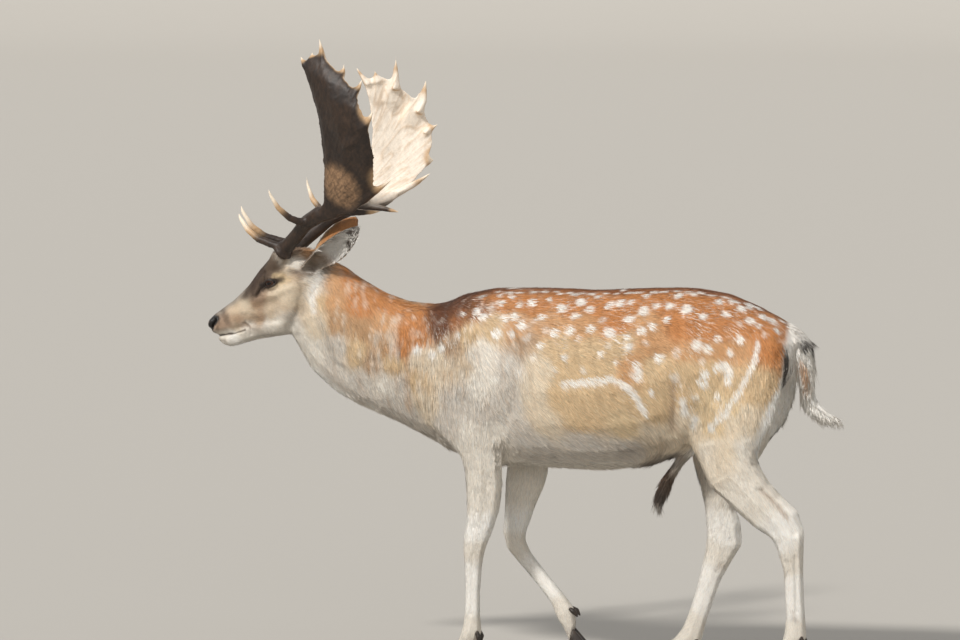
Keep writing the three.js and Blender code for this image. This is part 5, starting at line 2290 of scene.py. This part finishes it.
@dataclass(frozen=True)
class HideSkin:
    """Haired skin: the undercoat's matted grain, and moist, pebbled bare black skin on nose and lids."""

    grain: float = 1.6  # between the strands of the undercoat, in millimetres
    pebble: float = 1.5  # across the pebbles of the nose pad

    def build(self) -> Material:
        """Make the material that reads the hide's colour and where it is bare.

        Returns:
            The material.
        """
        material, tree = new_material("haired skin")
        place = add_node(tree, "TexCoord").outputs["Object"]
        ink = add_node(tree, "Attribute", {"attribute_name": "coat"}).outputs["Color"]
        bare = add_node(tree, "Attribute", {"attribute_name": "bare"}).outputs["Fac"]
        strands = add_node(tree, "TexNoise", {"Scale": 1000 / self.grain, "Detail": 3.0}, Vector=place)
        shade = add_node(tree, "MapRange", {"To Min": 0.78, "To Max": 1.12}, Value=strands.outputs["Fac"])
        scale = {"operation": "SCALE"}
        tinted = add_node(tree, "VectorMath", scale, Vector=ink, Scale=shade.outputs["Result"])
        pebbles = add_node(tree, "TexVoronoi", {"Scale": 1000 / self.pebble}, Vector=place)
        pair = {"A": strands.outputs["Fac"], "B": pebbles.outputs["Distance"]}
        height = add_node(tree, "Mix", Factor=bare, **pair).outputs["Result"]
        bump = add_node(tree, "Bump", {"Strength": 0.55, "Distance": 0.0009}, Height=height)
        rough = add_node(tree, "MapRange", {"To Min": 0.72, "To Max": 0.34}, Value=bare)
        return finished(
            material,
            {"Specular IOR Level": 0.4},
            Base_Color=tinted.outputs["Vector"],
            Normal=bump.outputs["Normal"],
            Roughness=rough.outputs["Result"],
        )


# ---- Eyes ----


@dataclass
class Eye:
    """One eyeball with its iris and level pupil, the wet rim of its lids, and its lashes."""

    seat: EyeSeat
    iris_reach: float = math.radians(46)
    pupil_half: tuple[float, float] = (math.radians(25), math.radians(12))
    bulge: float = 0.9  # of the cornea, in millimetres
    rim_thickness: float = 1.15
    lashes: int = 34

    @property
    def name(self) -> str:
        """The side's name."""
        return "left" if self.seat.side == LEFT else "right"

    def build(self, eye: Material, rim: Material, hair: Material) -> None:
        """Make the eye's pieces.

        Args:
            eye: the eyeball's finish.
            rim: the lid rim's.
            hair: the lashes'.
        """
        placed(self.ball(), "eye", eye, f"eye_{self.name}")
        placed(self.lid_rim(), "coat", rim)
        placed(self.lash_row(), "coat", hair)

    def ball(self) -> Object:
        """Turn an eyeball that faces along the gaze, and colour it from pupil to white.

        Returns:
            The object, in place.
        """
        seat = self.seat
        form = bmesh.new()
        radius = seat.radius - 0.1 * MM
        bmesh.ops.create_uvsphere(form, u_segments=128, v_segments=96, radius=radius)
        turn = Vector(seat.gaze).to_track_quat("Z", "Y").to_matrix()
        bmesh.ops.rotate(form, verts=form.verts, cent=(0, 0, 0), matrix=turn)
        bmesh.ops.translate(form, verts=form.verts, vec=Vector(seat.centre))
        made = object_of(form, f"eyeball_{self.name}")
        points = read_points(made.data)
        ray = unit(points - seat.centre)
        off = np.arccos(np.clip(ray @ seat.gaze, -1, 1))
        bulge = self.bulge * MM * (1 - ease(0.0, 0.75, off))
        write_points(made.data, points + ray * bulge[:, None])
        across, height = np.arcsin(ray @ seat.along), np.arcsin(ray @ seat.above)
        pupil = np.hypot(across / self.pupil_half[0], height / self.pupil_half[1])
        spokes = Noise(91).at(np.stack([np.arctan2(height, across) / 9, off, off * 0], axis=1), 12)
        iris = ink_of("3c2214") * (1 + 0.45 * spokes)[:, None]
        dark, white = ink_of("0c0909"), ink_of("6b5a4c")
        ink = mixed(dark, iris, ease(0.9, 1.15, pupil))
        ink = mixed(ink, dark, ease(self.iris_reach - 0.12, self.iris_reach, off))
        ink = mixed(ink, white, ease(self.iris_reach + 0.10, self.iris_reach + 0.30, off))
        store_colour(made.data, "tint", ink)
        return made

    def lid_rim(self) -> Object:
        """Spin a thin ring round the gaze, then lay it along the opening between the lids.

        Returns:
            The object, in place.
        """
        seat = self.seat
        form = bmesh.new()
        ring = bmesh.ops.create_circle(form, segments=8, radius=self.rim_thickness / 2 * MM)["verts"]
        upright = Vector((0, 1, 0)).to_track_quat("Z", "Y").to_matrix()
        bmesh.ops.rotate(form, verts=ring, cent=(0, 0, 0), matrix=upright)
        bmesh.ops.translate(form, verts=ring, vec=(0.01, 0, 0))
        bmesh.ops.spin(form, geom=ring + list(form.edges), steps=72, **FULL_TURN)
        bmesh.ops.recalc_face_normals(form, faces=form.faces)
        made = object_of(form, f"lid_rim_{self.name}")
        points = read_points(made.data)
        turn = np.arctan2(points[:, 1], points[:, 0])
        outward = np.hypot(points[:, 0], points[:, 1]) - 0.01
        lift = points[:, 2]
        way = seat.rim(turn)
        side = unit(seat.rim(turn + 0.02) - seat.rim(turn - 0.02))
        away = np.cross(side, way)
        away *= np.sign((away * (way - seat.gaze)).sum(1))[:, None]
        reach = seat.radius + 0.75 * MM + lift
        write_points(made.data, seat.centre + way * reach[:, None] + away * (outward + 0.35 * MM)[:, None])
        form = bmesh.new()
        form.from_mesh(made.data)
        bmesh.ops.recalc_face_normals(form, faces=form.faces)
        form.to_mesh(made.data)
        form.free()
        made.data.shade_smooth()
        return made

    def lash_row(self) -> Object:
        """Stand a row of dark lashes along the upper lid, sweeping out and down.

        Returns:
            The object, in place.
        """
        seat = self.seat
        chance = np.random.default_rng(93)
        turn = np.linspace(0.25, math.pi - 0.3, self.lashes)
        way = seat.rim(turn)
        roots = seat.centre + way * (seat.radius + 1.4 * MM)
        out = unit(way + 0.9 * seat.gaze - 0.25 * seat.above + chance.normal(0, 0.06, (len(turn), 3)))
        normals = unit(np.cross(out, np.cross(seat.above, out)))
        size = np.ones(len(turn))
        ink = np.tile(INK[Hair.BLACK], (len(turn), 1))
        grown = Tufts(
            Roots(roots, normals, np.tile(np.array([[0.5, 0.5]]), (len(turn), 1))),
            out,
            size * 7.5,
            size * 0.5,
            size * 2,
            ink,
            size * 0.25,
        )
        return tuft_mesh(f"lashes_{self.name}", grown, LOCK, 94)


@dataclass(frozen=True)
class WetEye:
    """A deer's eye: a dark brown iris behind a clear wet cornea, glossy enough to mirror the sky."""

    roughness: float = 0.06
    ior: float = 1.35

    def build(self) -> Material:
        """Make the material that reads the eyeball's tint.

        Returns:
            The material.
        """
        material, tree = new_material("cornea and iris")
        tint = add_node(tree, "Attribute", {"attribute_name": "tint"})
        cornea = {"Roughness": self.roughness, "IOR": self.ior}
        tears = {"Coat Weight": 0.2, "Coat Roughness": 0.03}
        return finished(material, cornea | tears, Base_Color=tint.outputs["Color"])


@dataclass(frozen=True)
class LidRim:
    """The bare margin of the eyelids: black, smooth and moist."""

    roughness: float = 0.32

    def build(self) -> Material:
        """Make the material.

        Returns:
            The material.
        """
        material, tree = new_material("lid margin")
        place = add_node(tree, "TexCoord").outputs["Object"]
        grain = add_node(tree, "TexNoise", {"Scale": 1400.0, "Detail": 2.0}, Vector=place)
        ramp = add_node(tree, "ValToRGB", {}, Fac=grain.outputs["Fac"])
        ramp.color_ramp.elements[0].color = (*linear("0e0b0a"), 1)
        ramp.color_ramp.elements[1].color = (*linear("2a2220"), 1)
        return finished(material, {"Roughness": self.roughness}, Base_Color=ramp.outputs["Color"])


# ---- Antlers ----


@dataclass(frozen=True)
class Snag:
    """One point on a palm's edge: the start of its broad foot, its tip, and half the foot's width."""

    foot: tuple[float, float, float]
    tip: tuple[float, float, float]
    half: float


SNAGS = {
    LEFT: (
        Snag((-372, -160, 1106), (-252, -204, 1179), 19),
        Snag((-336, -272, 1272), (-274, -300, 1347), 17),
        Snag((-346, -274, 1346), (-306, -279, 1421), 19),
        Snag((-373, -265, 1388), (-358, -262, 1453), 17),
        Snag((-404, -249, 1408), (-423, -251, 1511), 25),
        Snag((-436, -242, 1428), (-443, -231, 1478), 13),
        Snag((-444, -242, 1420), (-476, -226, 1465), 15),
    ),
    RIGHT: (
        Snag((-384, 172, 1102), (-270, 205, 1172), 18),
        Snag((-344, 246, 1160), (-287, 292, 1198), 17),
        Snag((-334, 278, 1240), (-280, 301, 1284), 20),
        Snag((-342, 272, 1292), (-305, 275, 1399), 24),
        Snag((-382, 256, 1342), (-376, 250, 1452), 24),
        Snag((-410, 246, 1372), (-430, 240, 1418), 15),
        Snag((-428, 241, 1358), (-476, 232, 1427), 17),
    ),
}
# Where a patch of sunlight is painted pale low on the near palm's outer side, and how far it reaches.
SUNLIT_PATCH_PLACE, SUNLIT_PATCH_REACH = (-0.386, 0.196, 1.162), (0.050, 0.060, 0.066)


@dataclass
class Antler:
    """One palmate antler, cast as one piece over its six lengths, with its burr, grooves and veins."""

    side: int
    voxel: float = 2.3
    fillet: float = 6.0  # of the corners between a palm and its points, in millimetres
    snag_thickness: float = 7.0
    root: float = 34.0  # how far a point's foot runs on into the palm
    cup: float = 7.0  # how far the cupped palm stands out behind the points
    groove: float = 0.6  # depth of the beam's grooves
    vein: float = 0.7  # height of the palm's ribs
    pearl: float = 1.5  # height of the pearls round the burr

    @property
    def name(self) -> str:
        """The side's name."""
        return "left" if self.side == LEFT else "right"

    @property
    def nodes(self) -> list[str]:
        """The CAD nodes that the antler is cast over."""
        return [name for name in NODES if name.startswith(f"antler_{self.name}")]

    def build(self, material: Material) -> Object:
        """Make the antler.

        Args:
            material: its finish.

        Returns:
            The piece.
        """
        outward = self.outward()
        form = joined_copy(self.nodes, 0.35)
        for snag in SNAGS[self.side]:
            self.add_snag(form, snag, outward)
        made = object_of(form, f"antler_{self.name}_whole")
        recast(made, self.voxel)
        relax(made.data, 4, 0.6)
        self.grow(made.data, self.fillet)
        recast(made, self.voxel)
        relax(made.data, 6, 0.6)
        self.grow(made.data, -self.fillet)
        recast(made, self.voxel)
        mesh = made.data
        relax(mesh, 10, 0.2 + 0.6 * self.on_palm(read_points(mesh)))
        self.carve(mesh)
        store_colour(mesh, "tint", self.tint(read_points(mesh), read_normals(mesh), outward))
        return placed(made, "antler_palm", material, *self.nodes)

    @staticmethod
    def grow(mesh: Mesh, out: float) -> None:
        """Move a whole surface out, or in where it is below 0, by millimetres."""
        write_points(mesh, read_points(mesh) + read_normals(mesh) * out * MM)

    def outward(self) -> np.ndarray:
        """Find the way that the palm's outer side faces.

        Returns:
            The way, of length 1.
        """
        points = read_points(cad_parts[f"antler_{self.name}_palm"].data).astype(float)
        way = np.linalg.svd(points - points.mean(0), full_matrices=False)[2][2]
        return way if way[1] * self.side > 0 else -way

    def add_snag(self, form: bmesh.types.BMesh, snag: Snag, outward: np.ndarray) -> None:
        """Add a flat cone from inside the palm to a point's tip.

        Args:
            form: the bmesh to add it to.
            snag: the point.
            outward: the way that the palm's outer side faces.
        """
        shift = np.array([BOARD_ZERO, 0, 0])
        foot, tip = (Vector((np.array(place) + shift) * MM) for place in (snag.foot, snag.tip))
        foot += Vector(outward) * self.cup * MM
        way = tip - foot
        along = way.normalized()
        thin = (Vector(outward) - along * Vector(outward).dot(along)).normalized()
        wide = thin.cross(along)
        turn = Matrix((wide, thin, along)).transposed()
        flatten = Matrix.Diagonal((1.0, self.snag_thickness / 2 / snag.half, 1.0))
        ends = ((snag.half, 0.9, foot, tip), (1.0, snag.half, foot - along * self.root * MM, foot))
        for radius1, radius2, start, end in ends:
            cone = bmesh.ops.create_cone(
                form,
                cap_ends=True,
                segments=16,
                radius1=radius1 * MM,
                radius2=radius2 * MM,
                depth=(end - start).length,
            )["verts"]
            bmesh.ops.transform(form, matrix=(turn @ flatten).to_4x4(), verts=cone)
            bmesh.ops.translate(form, verts=cone, vec=(start + end) / 2)

    def burr_place(self) -> np.ndarray:
        """Find the middle of the burr."""
        low, _ = corners(f"antler_{self.name}_beam")
        return np.array([low[0] + 0.026, self.side * 0.045, low[2] + 0.015])

    def palm_root(self) -> np.ndarray:
        """Find where the palm opens from the beam.

        Returns:
            The place, in metres.
        """
        low, high = corners(f"antler_{self.name}_palm")
        inner = high[1] if self.side == LEFT else low[1]
        return np.array([low[0] + 0.02, inner, low[2]])

    def on_palm(self, points: np.ndarray) -> np.ndarray:
        """Say how far each place belongs to the palm's blade, from 0 to 1."""
        reach = np.linalg.norm(points - self.palm_root(), axis=1)
        return ease(0.05, 0.12, reach) * ease(1.08, 1.13, points[:, 2])

    def ribs(self, points: np.ndarray, width: float) -> np.ndarray:
        """Draw the branching ribs that fan out over the palm, from 0 to 1.

        Args:
            points: the antler's points.
            width: how wide they are, as a share.

        Returns:
            The share of a rib at each place.
        """
        ray = points - self.palm_root()
        reach = np.linalg.norm(ray, axis=1)
        back, out = (np.arctan2(ray[:, axis], ray[:, 2]) for axis in (0, 1))
        fan = np.stack([back, out, reach * 0.6], axis=1)
        wavy = Noise(101).at(fan, (60, 110, 60)) + 0.5 * Noise(102).at(fan, (26, 60, 30))
        fine = Noise(104).at(fan, (20, 40, 45)) + 0.4 * Noise(103).at(fan, (9, 24, 26))
        return np.maximum(np.exp(-((wavy / width) ** 2)), 0.6 * np.exp(-((fine / width) ** 2)))

    def carve(self, mesh: Mesh) -> None:
        """Cut the grooves along the beam, raise the palm's branching ribs and the pearls near the burr.

        Args:
            mesh: the antler's mesh.
        """
        points, normals = read_points(mesh), read_normals(mesh)
        blade = self.on_palm(points)
        along = unit(self.palm_root() - self.burr_place())
        flat = points - (points @ along)[:, None] * along * 0.93
        grooves = Noise(103).at(flat, 5.0) + 0.5 * Noise(104).at(flat, 2.6)
        burr = np.linalg.norm(points - self.burr_place(), axis=1)
        lumps = np.clip(Noise(105).at(points, 5.5), -0.2, 1) * (1 - ease(0.022, 0.060, burr))
        pits = Noise(106).at(points, 8) * 0.4
        out = blade * (self.vein * (self.ribs(points, 0.16) - 0.4) + pits)
        out = out + (1 - blade) * self.groove * grooves
        out = out * (1 - 0.7 * self.tips(points)) + self.pearl * lumps
        write_points(mesh, points + normals * (out * MM)[:, None])

    def tint(self, points: np.ndarray, normals: np.ndarray, outward: np.ndarray) -> np.ndarray:
        """Colour the antler: near black where bark has stained it and darker on the outer faces as painted
        shade, pale inner faces that are partly bleached bone and partly painted sunlight, a painted patch of
        sunlight low on the outer side, painted highlights along the thin edges, and pale tips.

        Args:
            points: the antler's points.
            normals: their normals.
            outward: the way that the palm's outer side faces.

        Returns:
            A linear colour for each.
        """
        stain_and_shade, warm, sunlit_patch_ink = ink_of("241912"), ink_of("4f3928"), ink_of("9c7b5c")
        ivory, bleached_and_sunlit, tan = ink_of("efe0ca"), ink_of("efe3d3"), ink_of("c3a078")
        blade = self.on_palm(points)
        ribs = self.ribs(points, 0.14)
        cloud = Noise(107).at(points, 60) * 0.6 + Noise(108).at(points, 18) * 0.4
        fine = Noise(109).at(points, (4, 4, 11)) * 0.6 + Noise(110).at(points, 3.2) * 0.4
        faced = normals @ outward
        # The outer faces keep the dark bark stain, which also stands for painted shade; the inner faces are
        # lightened below.
        outer = ease(-0.2, 0.2, faced)
        ink = np.tile(stain_and_shade, (len(points), 1))
        ink = mixed(ink, warm, np.clip(0.25 + 0.45 * cloud + 0.5 * fine, 0, 1) * 0.55)
        # A painted pool of sunlight, low on the palm's outer side.
        spot = (points - np.array(SUNLIT_PATCH_PLACE) * (1, self.side, 1)) / np.array(SUNLIT_PATCH_REACH)
        painted_sunlit_patch = (1 - ease(0.6, 1.15, np.linalg.norm(spot, axis=1) + 0.18 * cloud)) * outer
        ink = mixed(ink, sunlit_patch_ink, painted_sunlit_patch * np.clip(0.75 + 0.5 * fine, 0, 1))
        # The palm's inner faces turn pale: partly bleached bone, partly painted sunlight.
        inner = blade * (1 - outer)
        reach = np.linalg.norm(points - self.palm_root(), axis=1)
        ink = mixed(ink, bleached_and_sunlit, inner * ease(0.05, 0.13, reach))
        ink = mixed(ink, tan, inner * np.clip(0.42 * ribs + 0.4 * fine * ease(-0.3, 0.4, cloud), 0, 1))
        ink = mixed(ink, stain_and_shade * 0.6, blade * outer * ribs * 0.4)
        # Painted highlights along the palm's thin edges, in tan.
        rim = blade * (1 - ease(0.15, 0.5, np.abs(faced)))
        ink = mixed(ink, tan, rim * (0.75 - 0.45 * outer))
        tip = self.tips(points)
        ink = mixed(ink, tan, ease(0.12, 0.5, tip) * 0.85)
        ink = mixed(ink, ivory, ease(0.5, 0.9, tip))
        return np.clip(ink * (1 + 0.14 * fine + 0.08 * cloud)[:, None], 0.004, 0.9)

    def tips(self, points: np.ndarray) -> np.ndarray:
        """Say how near each place is to the end of its point, from 0 to 1.

        Args:
            points: places in metres, as rows.

        Returns:
            The nearness at each place.
        """
        share = np.zeros(len(points), np.float32)
        for snag in SNAGS[self.side]:
            tip = (np.array(snag.tip) + (BOARD_ZERO, 0, 0)) * MM
            foot = (np.array(snag.foot) + (BOARD_ZERO, 0, 0)) * MM
            apart = np.linalg.norm(points - tip, axis=1) / np.linalg.norm(foot - tip)
            share = np.maximum(share, 1 - ease(0.0, 0.62, apart))
        for tine in ("brow_tine", "trez_tine"):
            low, high = corners(f"antler_{self.name}_{tine}")
            inside = within(points, np.array((low, high)), 0.003)
            rise = (points[:, 2] - low[2]) / (high[2] - low[2])
            run = (high[0] - points[:, 0]) / (high[0] - low[0])
            share = np.where(inside, np.maximum(share, ease(0.25, 1.9, rise + run)), share)
        low, high = corners(f"antler_{self.name}_back_tine")
        rear = within(points, np.array((low, high)), 0.003)
        return np.where(rear, np.maximum(share, ease(low[0], high[0], points[:, 0]) * 0.8), share)


@dataclass(frozen=True)
class AntlerBone:
    """Antler: hard dead bone, stained by bark and polished to a low waxy gloss on its ridges."""

    grain: float = 1.2  # between the lines along the bone, in millimetres, as coarse as it needs to show

    def build(self) -> Material:
        """Make the material that reads the antler's tint.

        Returns:
            The material.
        """
        material, tree = new_material("polished antler")
        place = add_node(tree, "TexCoord").outputs["Object"]
        tint = add_node(tree, "Attribute", {"attribute_name": "tint"}).outputs["Color"]
        squeezed = add_node(tree, "Mapping", {"Scale": (1.0, 1.0, 0.25)}, Vector=place).outputs["Vector"]
        lines = {"Scale": 1000 / self.grain, "Detail": 4.0}
        grain = add_node(tree, "TexNoise", lines, Vector=squeezed).outputs["Fac"]
        shade = add_node(tree, "MapRange", {"To Min": 0.8, "To Max": 1.18}, Value=grain)
        scale = {"operation": "SCALE"}
        tinted = add_node(tree, "VectorMath", scale, Vector=tint, Scale=shade.outputs["Result"])
        bump = add_node(tree, "Bump", {"Strength": 0.35, "Distance": 0.0005}, Height=grain)
        rough = add_node(tree, "MapRange", {"To Min": 0.42, "To Max": 0.64}, Value=grain)
        return finished(
            material,
            {},
            Base_Color=tinted.outputs["Vector"],
            Normal=bump.outputs["Normal"],
            Roughness=rough.outputs["Result"],
        )


# ---- Hooves ----


@dataclass
class Hooves:
    """The hooves and dewclaws, each cast over its CAD node, with growth rings and a worn edge."""

    voxel: float = 1.5
    ring: float = 0.15  # depth of the growth rings, in millimetres
    ring_spacing: float = 4.2

    def build(self, material: Material) -> None:
        """Make every hoof and dewclaw.

        Args:
            material: their finish.
        """
        for node in NODES:
            if "hoof" in node or "dewclaw" in node:
                placed(self.claw(node), "hoof_horn", material, node)

    def claw(self, node: str) -> Object:
        """Make one hoof or dewclaw.

        Args:
            node: the CAD node that it stands for.

        Returns:
            The piece.
        """
        made = object_of(joined_copy([node], 0.0), f"{node}_horn")
        recast(made, self.voxel)
        mesh = made.data
        low, high = corners(node)
        sole = read_points(mesh)[:, 2] < low[2] + 0.6 * MM
        flat = "hoof" in node and low[2] < 0.001
        relax(mesh, 9, np.where(sole & flat, 0.0, 1.0))
        points, normals = read_points(mesh), read_normals(mesh)
        height = points[:, 2] + 0.25 * (points[:, 0] - low[0])
        rings = np.sin(height / (self.ring_spacing * MM) * 2 * math.pi + 2 * Noise(111).at(points, 14))
        worn = Noise(112).at(points, 3.5) * (1 - ease(0.0, 0.012, points[:, 2] - low[2]))
        side = 1 - ease(0.5, 0.8, np.abs(normals[:, 2]))
        out = (self.ring * rings * side + 0.35 * worn) * np.where(sole & flat, 0.0, 1.0)
        moved = points + normals * (out * MM)[:, None]
        moved[:, 2] = np.maximum(moved[:, 2], 0.0)
        write_points(mesh, moved)
        store_colour(mesh, "tint", self.tint(moved, low, high))
        return made

    def tint(self, points: np.ndarray, low: np.ndarray, high: np.ndarray) -> np.ndarray:
        """Colour the horn: near black, browner at the coronet and paler along the worn edge.

        Args:
            points: places in metres, as rows.
            low: the lowest corner of the horn's box.
            high: its highest corner.

        Returns:
            A colour for each place.
        """
        dark, brown, worn = ink_of("1f1a17"), ink_of("43362b"), ink_of("75675a")
        share = (points[:, 2] - low[2]) / (high[2] - low[2])
        streak = Noise(113).at(points, (3, 3, 16))
        ink = mixed(dark, brown, 0.3 + 0.3 * streak)
        ink = mixed(ink, brown, 0.7 * ease(0.75, 1.0, share))
        return mixed(ink, worn, 0.7 * (1 - ease(0.0, 0.12, share)))


@dataclass(frozen=True)
class HoofHorn:
    """Hoof horn: dark keratin that grows in rings, with a dull satin from wear."""

    fibre: float = 0.9  # between the horn's fibres, in millimetres, as coarse as they need to show

    def build(self) -> Material:
        """Make the material that reads the horn's tint.

        Returns:
            The material.
        """
        material, tree = new_material("hoof keratin")
        place = add_node(tree, "TexCoord").outputs["Object"]
        tint = add_node(tree, "Attribute", {"attribute_name": "tint"}).outputs["Color"]
        squeezed = add_node(tree, "Mapping", {"Scale": (1.0, 1.0, 0.2)}, Vector=place).outputs["Vector"]
        strands = {"Scale": 1000 / self.fibre, "Detail": 3.0}
        fibre = add_node(tree, "TexNoise", strands, Vector=squeezed).outputs["Fac"]
        bump = add_node(tree, "Bump", {"Strength": 0.3, "Distance": 0.0004}, Height=fibre)
        rough = add_node(tree, "MapRange", {"To Min": 0.36, "To Max": 0.58}, Value=fibre)
        return finished(
            material,
            {},
            Base_Color=tint,
            Normal=bump.outputs["Normal"],
            Roughness=rough.outputs["Result"],
        )


# ---- Studio ----


def way_to(azimuth: float, elevation: float) -> Vector:
    """Give the way from the model to a lamp or camera, azimuth 0 being square on to the left side."""
    level = math.cos(elevation)
    return Vector((math.sin(azimuth) * level, -math.cos(azimuth) * level, math.sin(elevation)))


@dataclass(frozen=True)
class Studio:
    """A pale floor that curves up into a backdrop, soft lights, and the camera."""

    distance: float = 16.0
    target: tuple[float, float, float] = (-0.1015, 0.0, 0.831)
    lens: float = 252.0
    floor_radius: float = 46.0
    rim_height: float = 9.0

    def build(self) -> None:
        """Make the floor, lights and camera."""
        self.floor()
        self.lights()
        self.camera()

    def floor(self) -> None:
        """Spin the floor's profile into a wide dish with an upturned rim."""
        form = bmesh.new()
        flat = self.floor_radius - self.rim_height
        profile = [form.verts.new((0, 0, 0)), form.verts.new((flat, 0, 0))]
        for step in range(1, 9):
            turn = math.radians(90 * step / 8)
            out, up = self.rim_height * math.sin(turn), self.rim_height * (1 - math.cos(turn))
            profile.append(form.verts.new((flat + out, 0, up)))
        edges = [form.edges.new(pair) for pair in zip(profile[:-1], profile[1:])]
        bmesh.ops.spin(form, geom=profile + edges, steps=96, **FULL_TURN)
        bmesh.ops.remove_doubles(form, verts=form.verts, dist=0.001)
        made = object_of(form, "studio_floor")
        material, _ = new_material("matt floor paint")
        matt = {"Base Color": (*linear("b3afa8"), 1), "Roughness": 0.9, "Specular IOR Level": 0.1}
        made.data.materials.append(finished(material, matt))

    def lights(self) -> None:
        """Hang a key lamp up to the left of the camera and a wide low one beside it, in a pale room."""
        self.lamp("key", 2.9, 7, (-24, 41), (1.0, 0.975, 0.94))
        self.lamp("low fill", 0.62, 50, (16, 8), (1.0, 0.985, 0.965))
        world = bpy.data.worlds.new("pale room")
        world.use_nodes = True
        background = world.node_tree.nodes["Background"]
        background.inputs["Color"].default_value = (0.985, 0.99, 1.0, 1)
        background.inputs["Strength"].default_value = 0.6
        bpy.context.scene.world = world

    @staticmethod
    def lamp(name: str, energy: float, width: float, place: tuple, colour: tuple) -> None:
        """Hang a far lamp.

        Args:
            name: its name.
            energy: how strong it is.
            width: how wide it looks, in degrees.
            place: its azimuth and its elevation, in degrees.
            colour: its linear colour.
        """
        light = bpy.data.lights.new(name, "SUN")
        light.energy = energy
        light.angle = math.radians(width)
        light.color = colour
        lamp = bpy.data.objects.new(name, light)
        towards = way_to(*(math.radians(turn) for turn in place))
        lamp.rotation_mode = "QUATERNION"
        lamp.rotation_quaternion = towards.to_track_quat("Z", "Y")
        bpy.context.scene.collection.objects.link(lamp)

    def camera(self) -> None:
        """Stand the camera in front of the left shoulder, at chest height."""
        back = way_to(BOARD_TURN, BOARD_DIP)
        lens = bpy.data.cameras.new("camera")
        lens.lens = self.lens
        lens.sensor_width = 36
        lens.clip_end = 200
        camera = bpy.data.objects.new("camera", lens)
        camera.location = Vector(self.target) + back * self.distance
        camera.rotation_mode = "QUATERNION"
        camera.rotation_quaternion = (-back).to_track_quat("-Z", "Y")
        bpy.context.scene.collection.objects.link(camera)
        bpy.context.scene.camera = camera
        bpy.context.scene.view_settings.view_transform = "Standard"


def main() -> None:
    """Build the buck piece by piece."""
    logging.basicConfig(level=logging.INFO, format="%(relativeCreated)6d %(message)s")
    Studio().build()
    hide = Hide()
    skin = hide.build()
    carrier = Carrier(skin)
    surface = HideSurface(skin)
    markings = Markings(carrier, hide.seats)
    store_colour(skin.data, "coat", markings.at(surface.points, surface.normals))
    store_value(skin.data, "bare", markings.bare(surface.points))
    placed(skin, "coat", HideSkin().build(), *hide.flesh())
    hair = CoatHair().build()
    Coat(surface, LieOfCoat(carrier), markings, hair).build()
    wet_eye, lid_rim = WetEye().build(), LidRim().build()
    for seat in hide.seats:
        Eye(seat).build(wet_eye, lid_rim, hair)
    bone = AntlerBone().build()
    for side in (LEFT, RIGHT):
        Antler(side).build(bone)
    Hooves().build(HoofHorn().build())


if __name__ == "__main__":
    main()
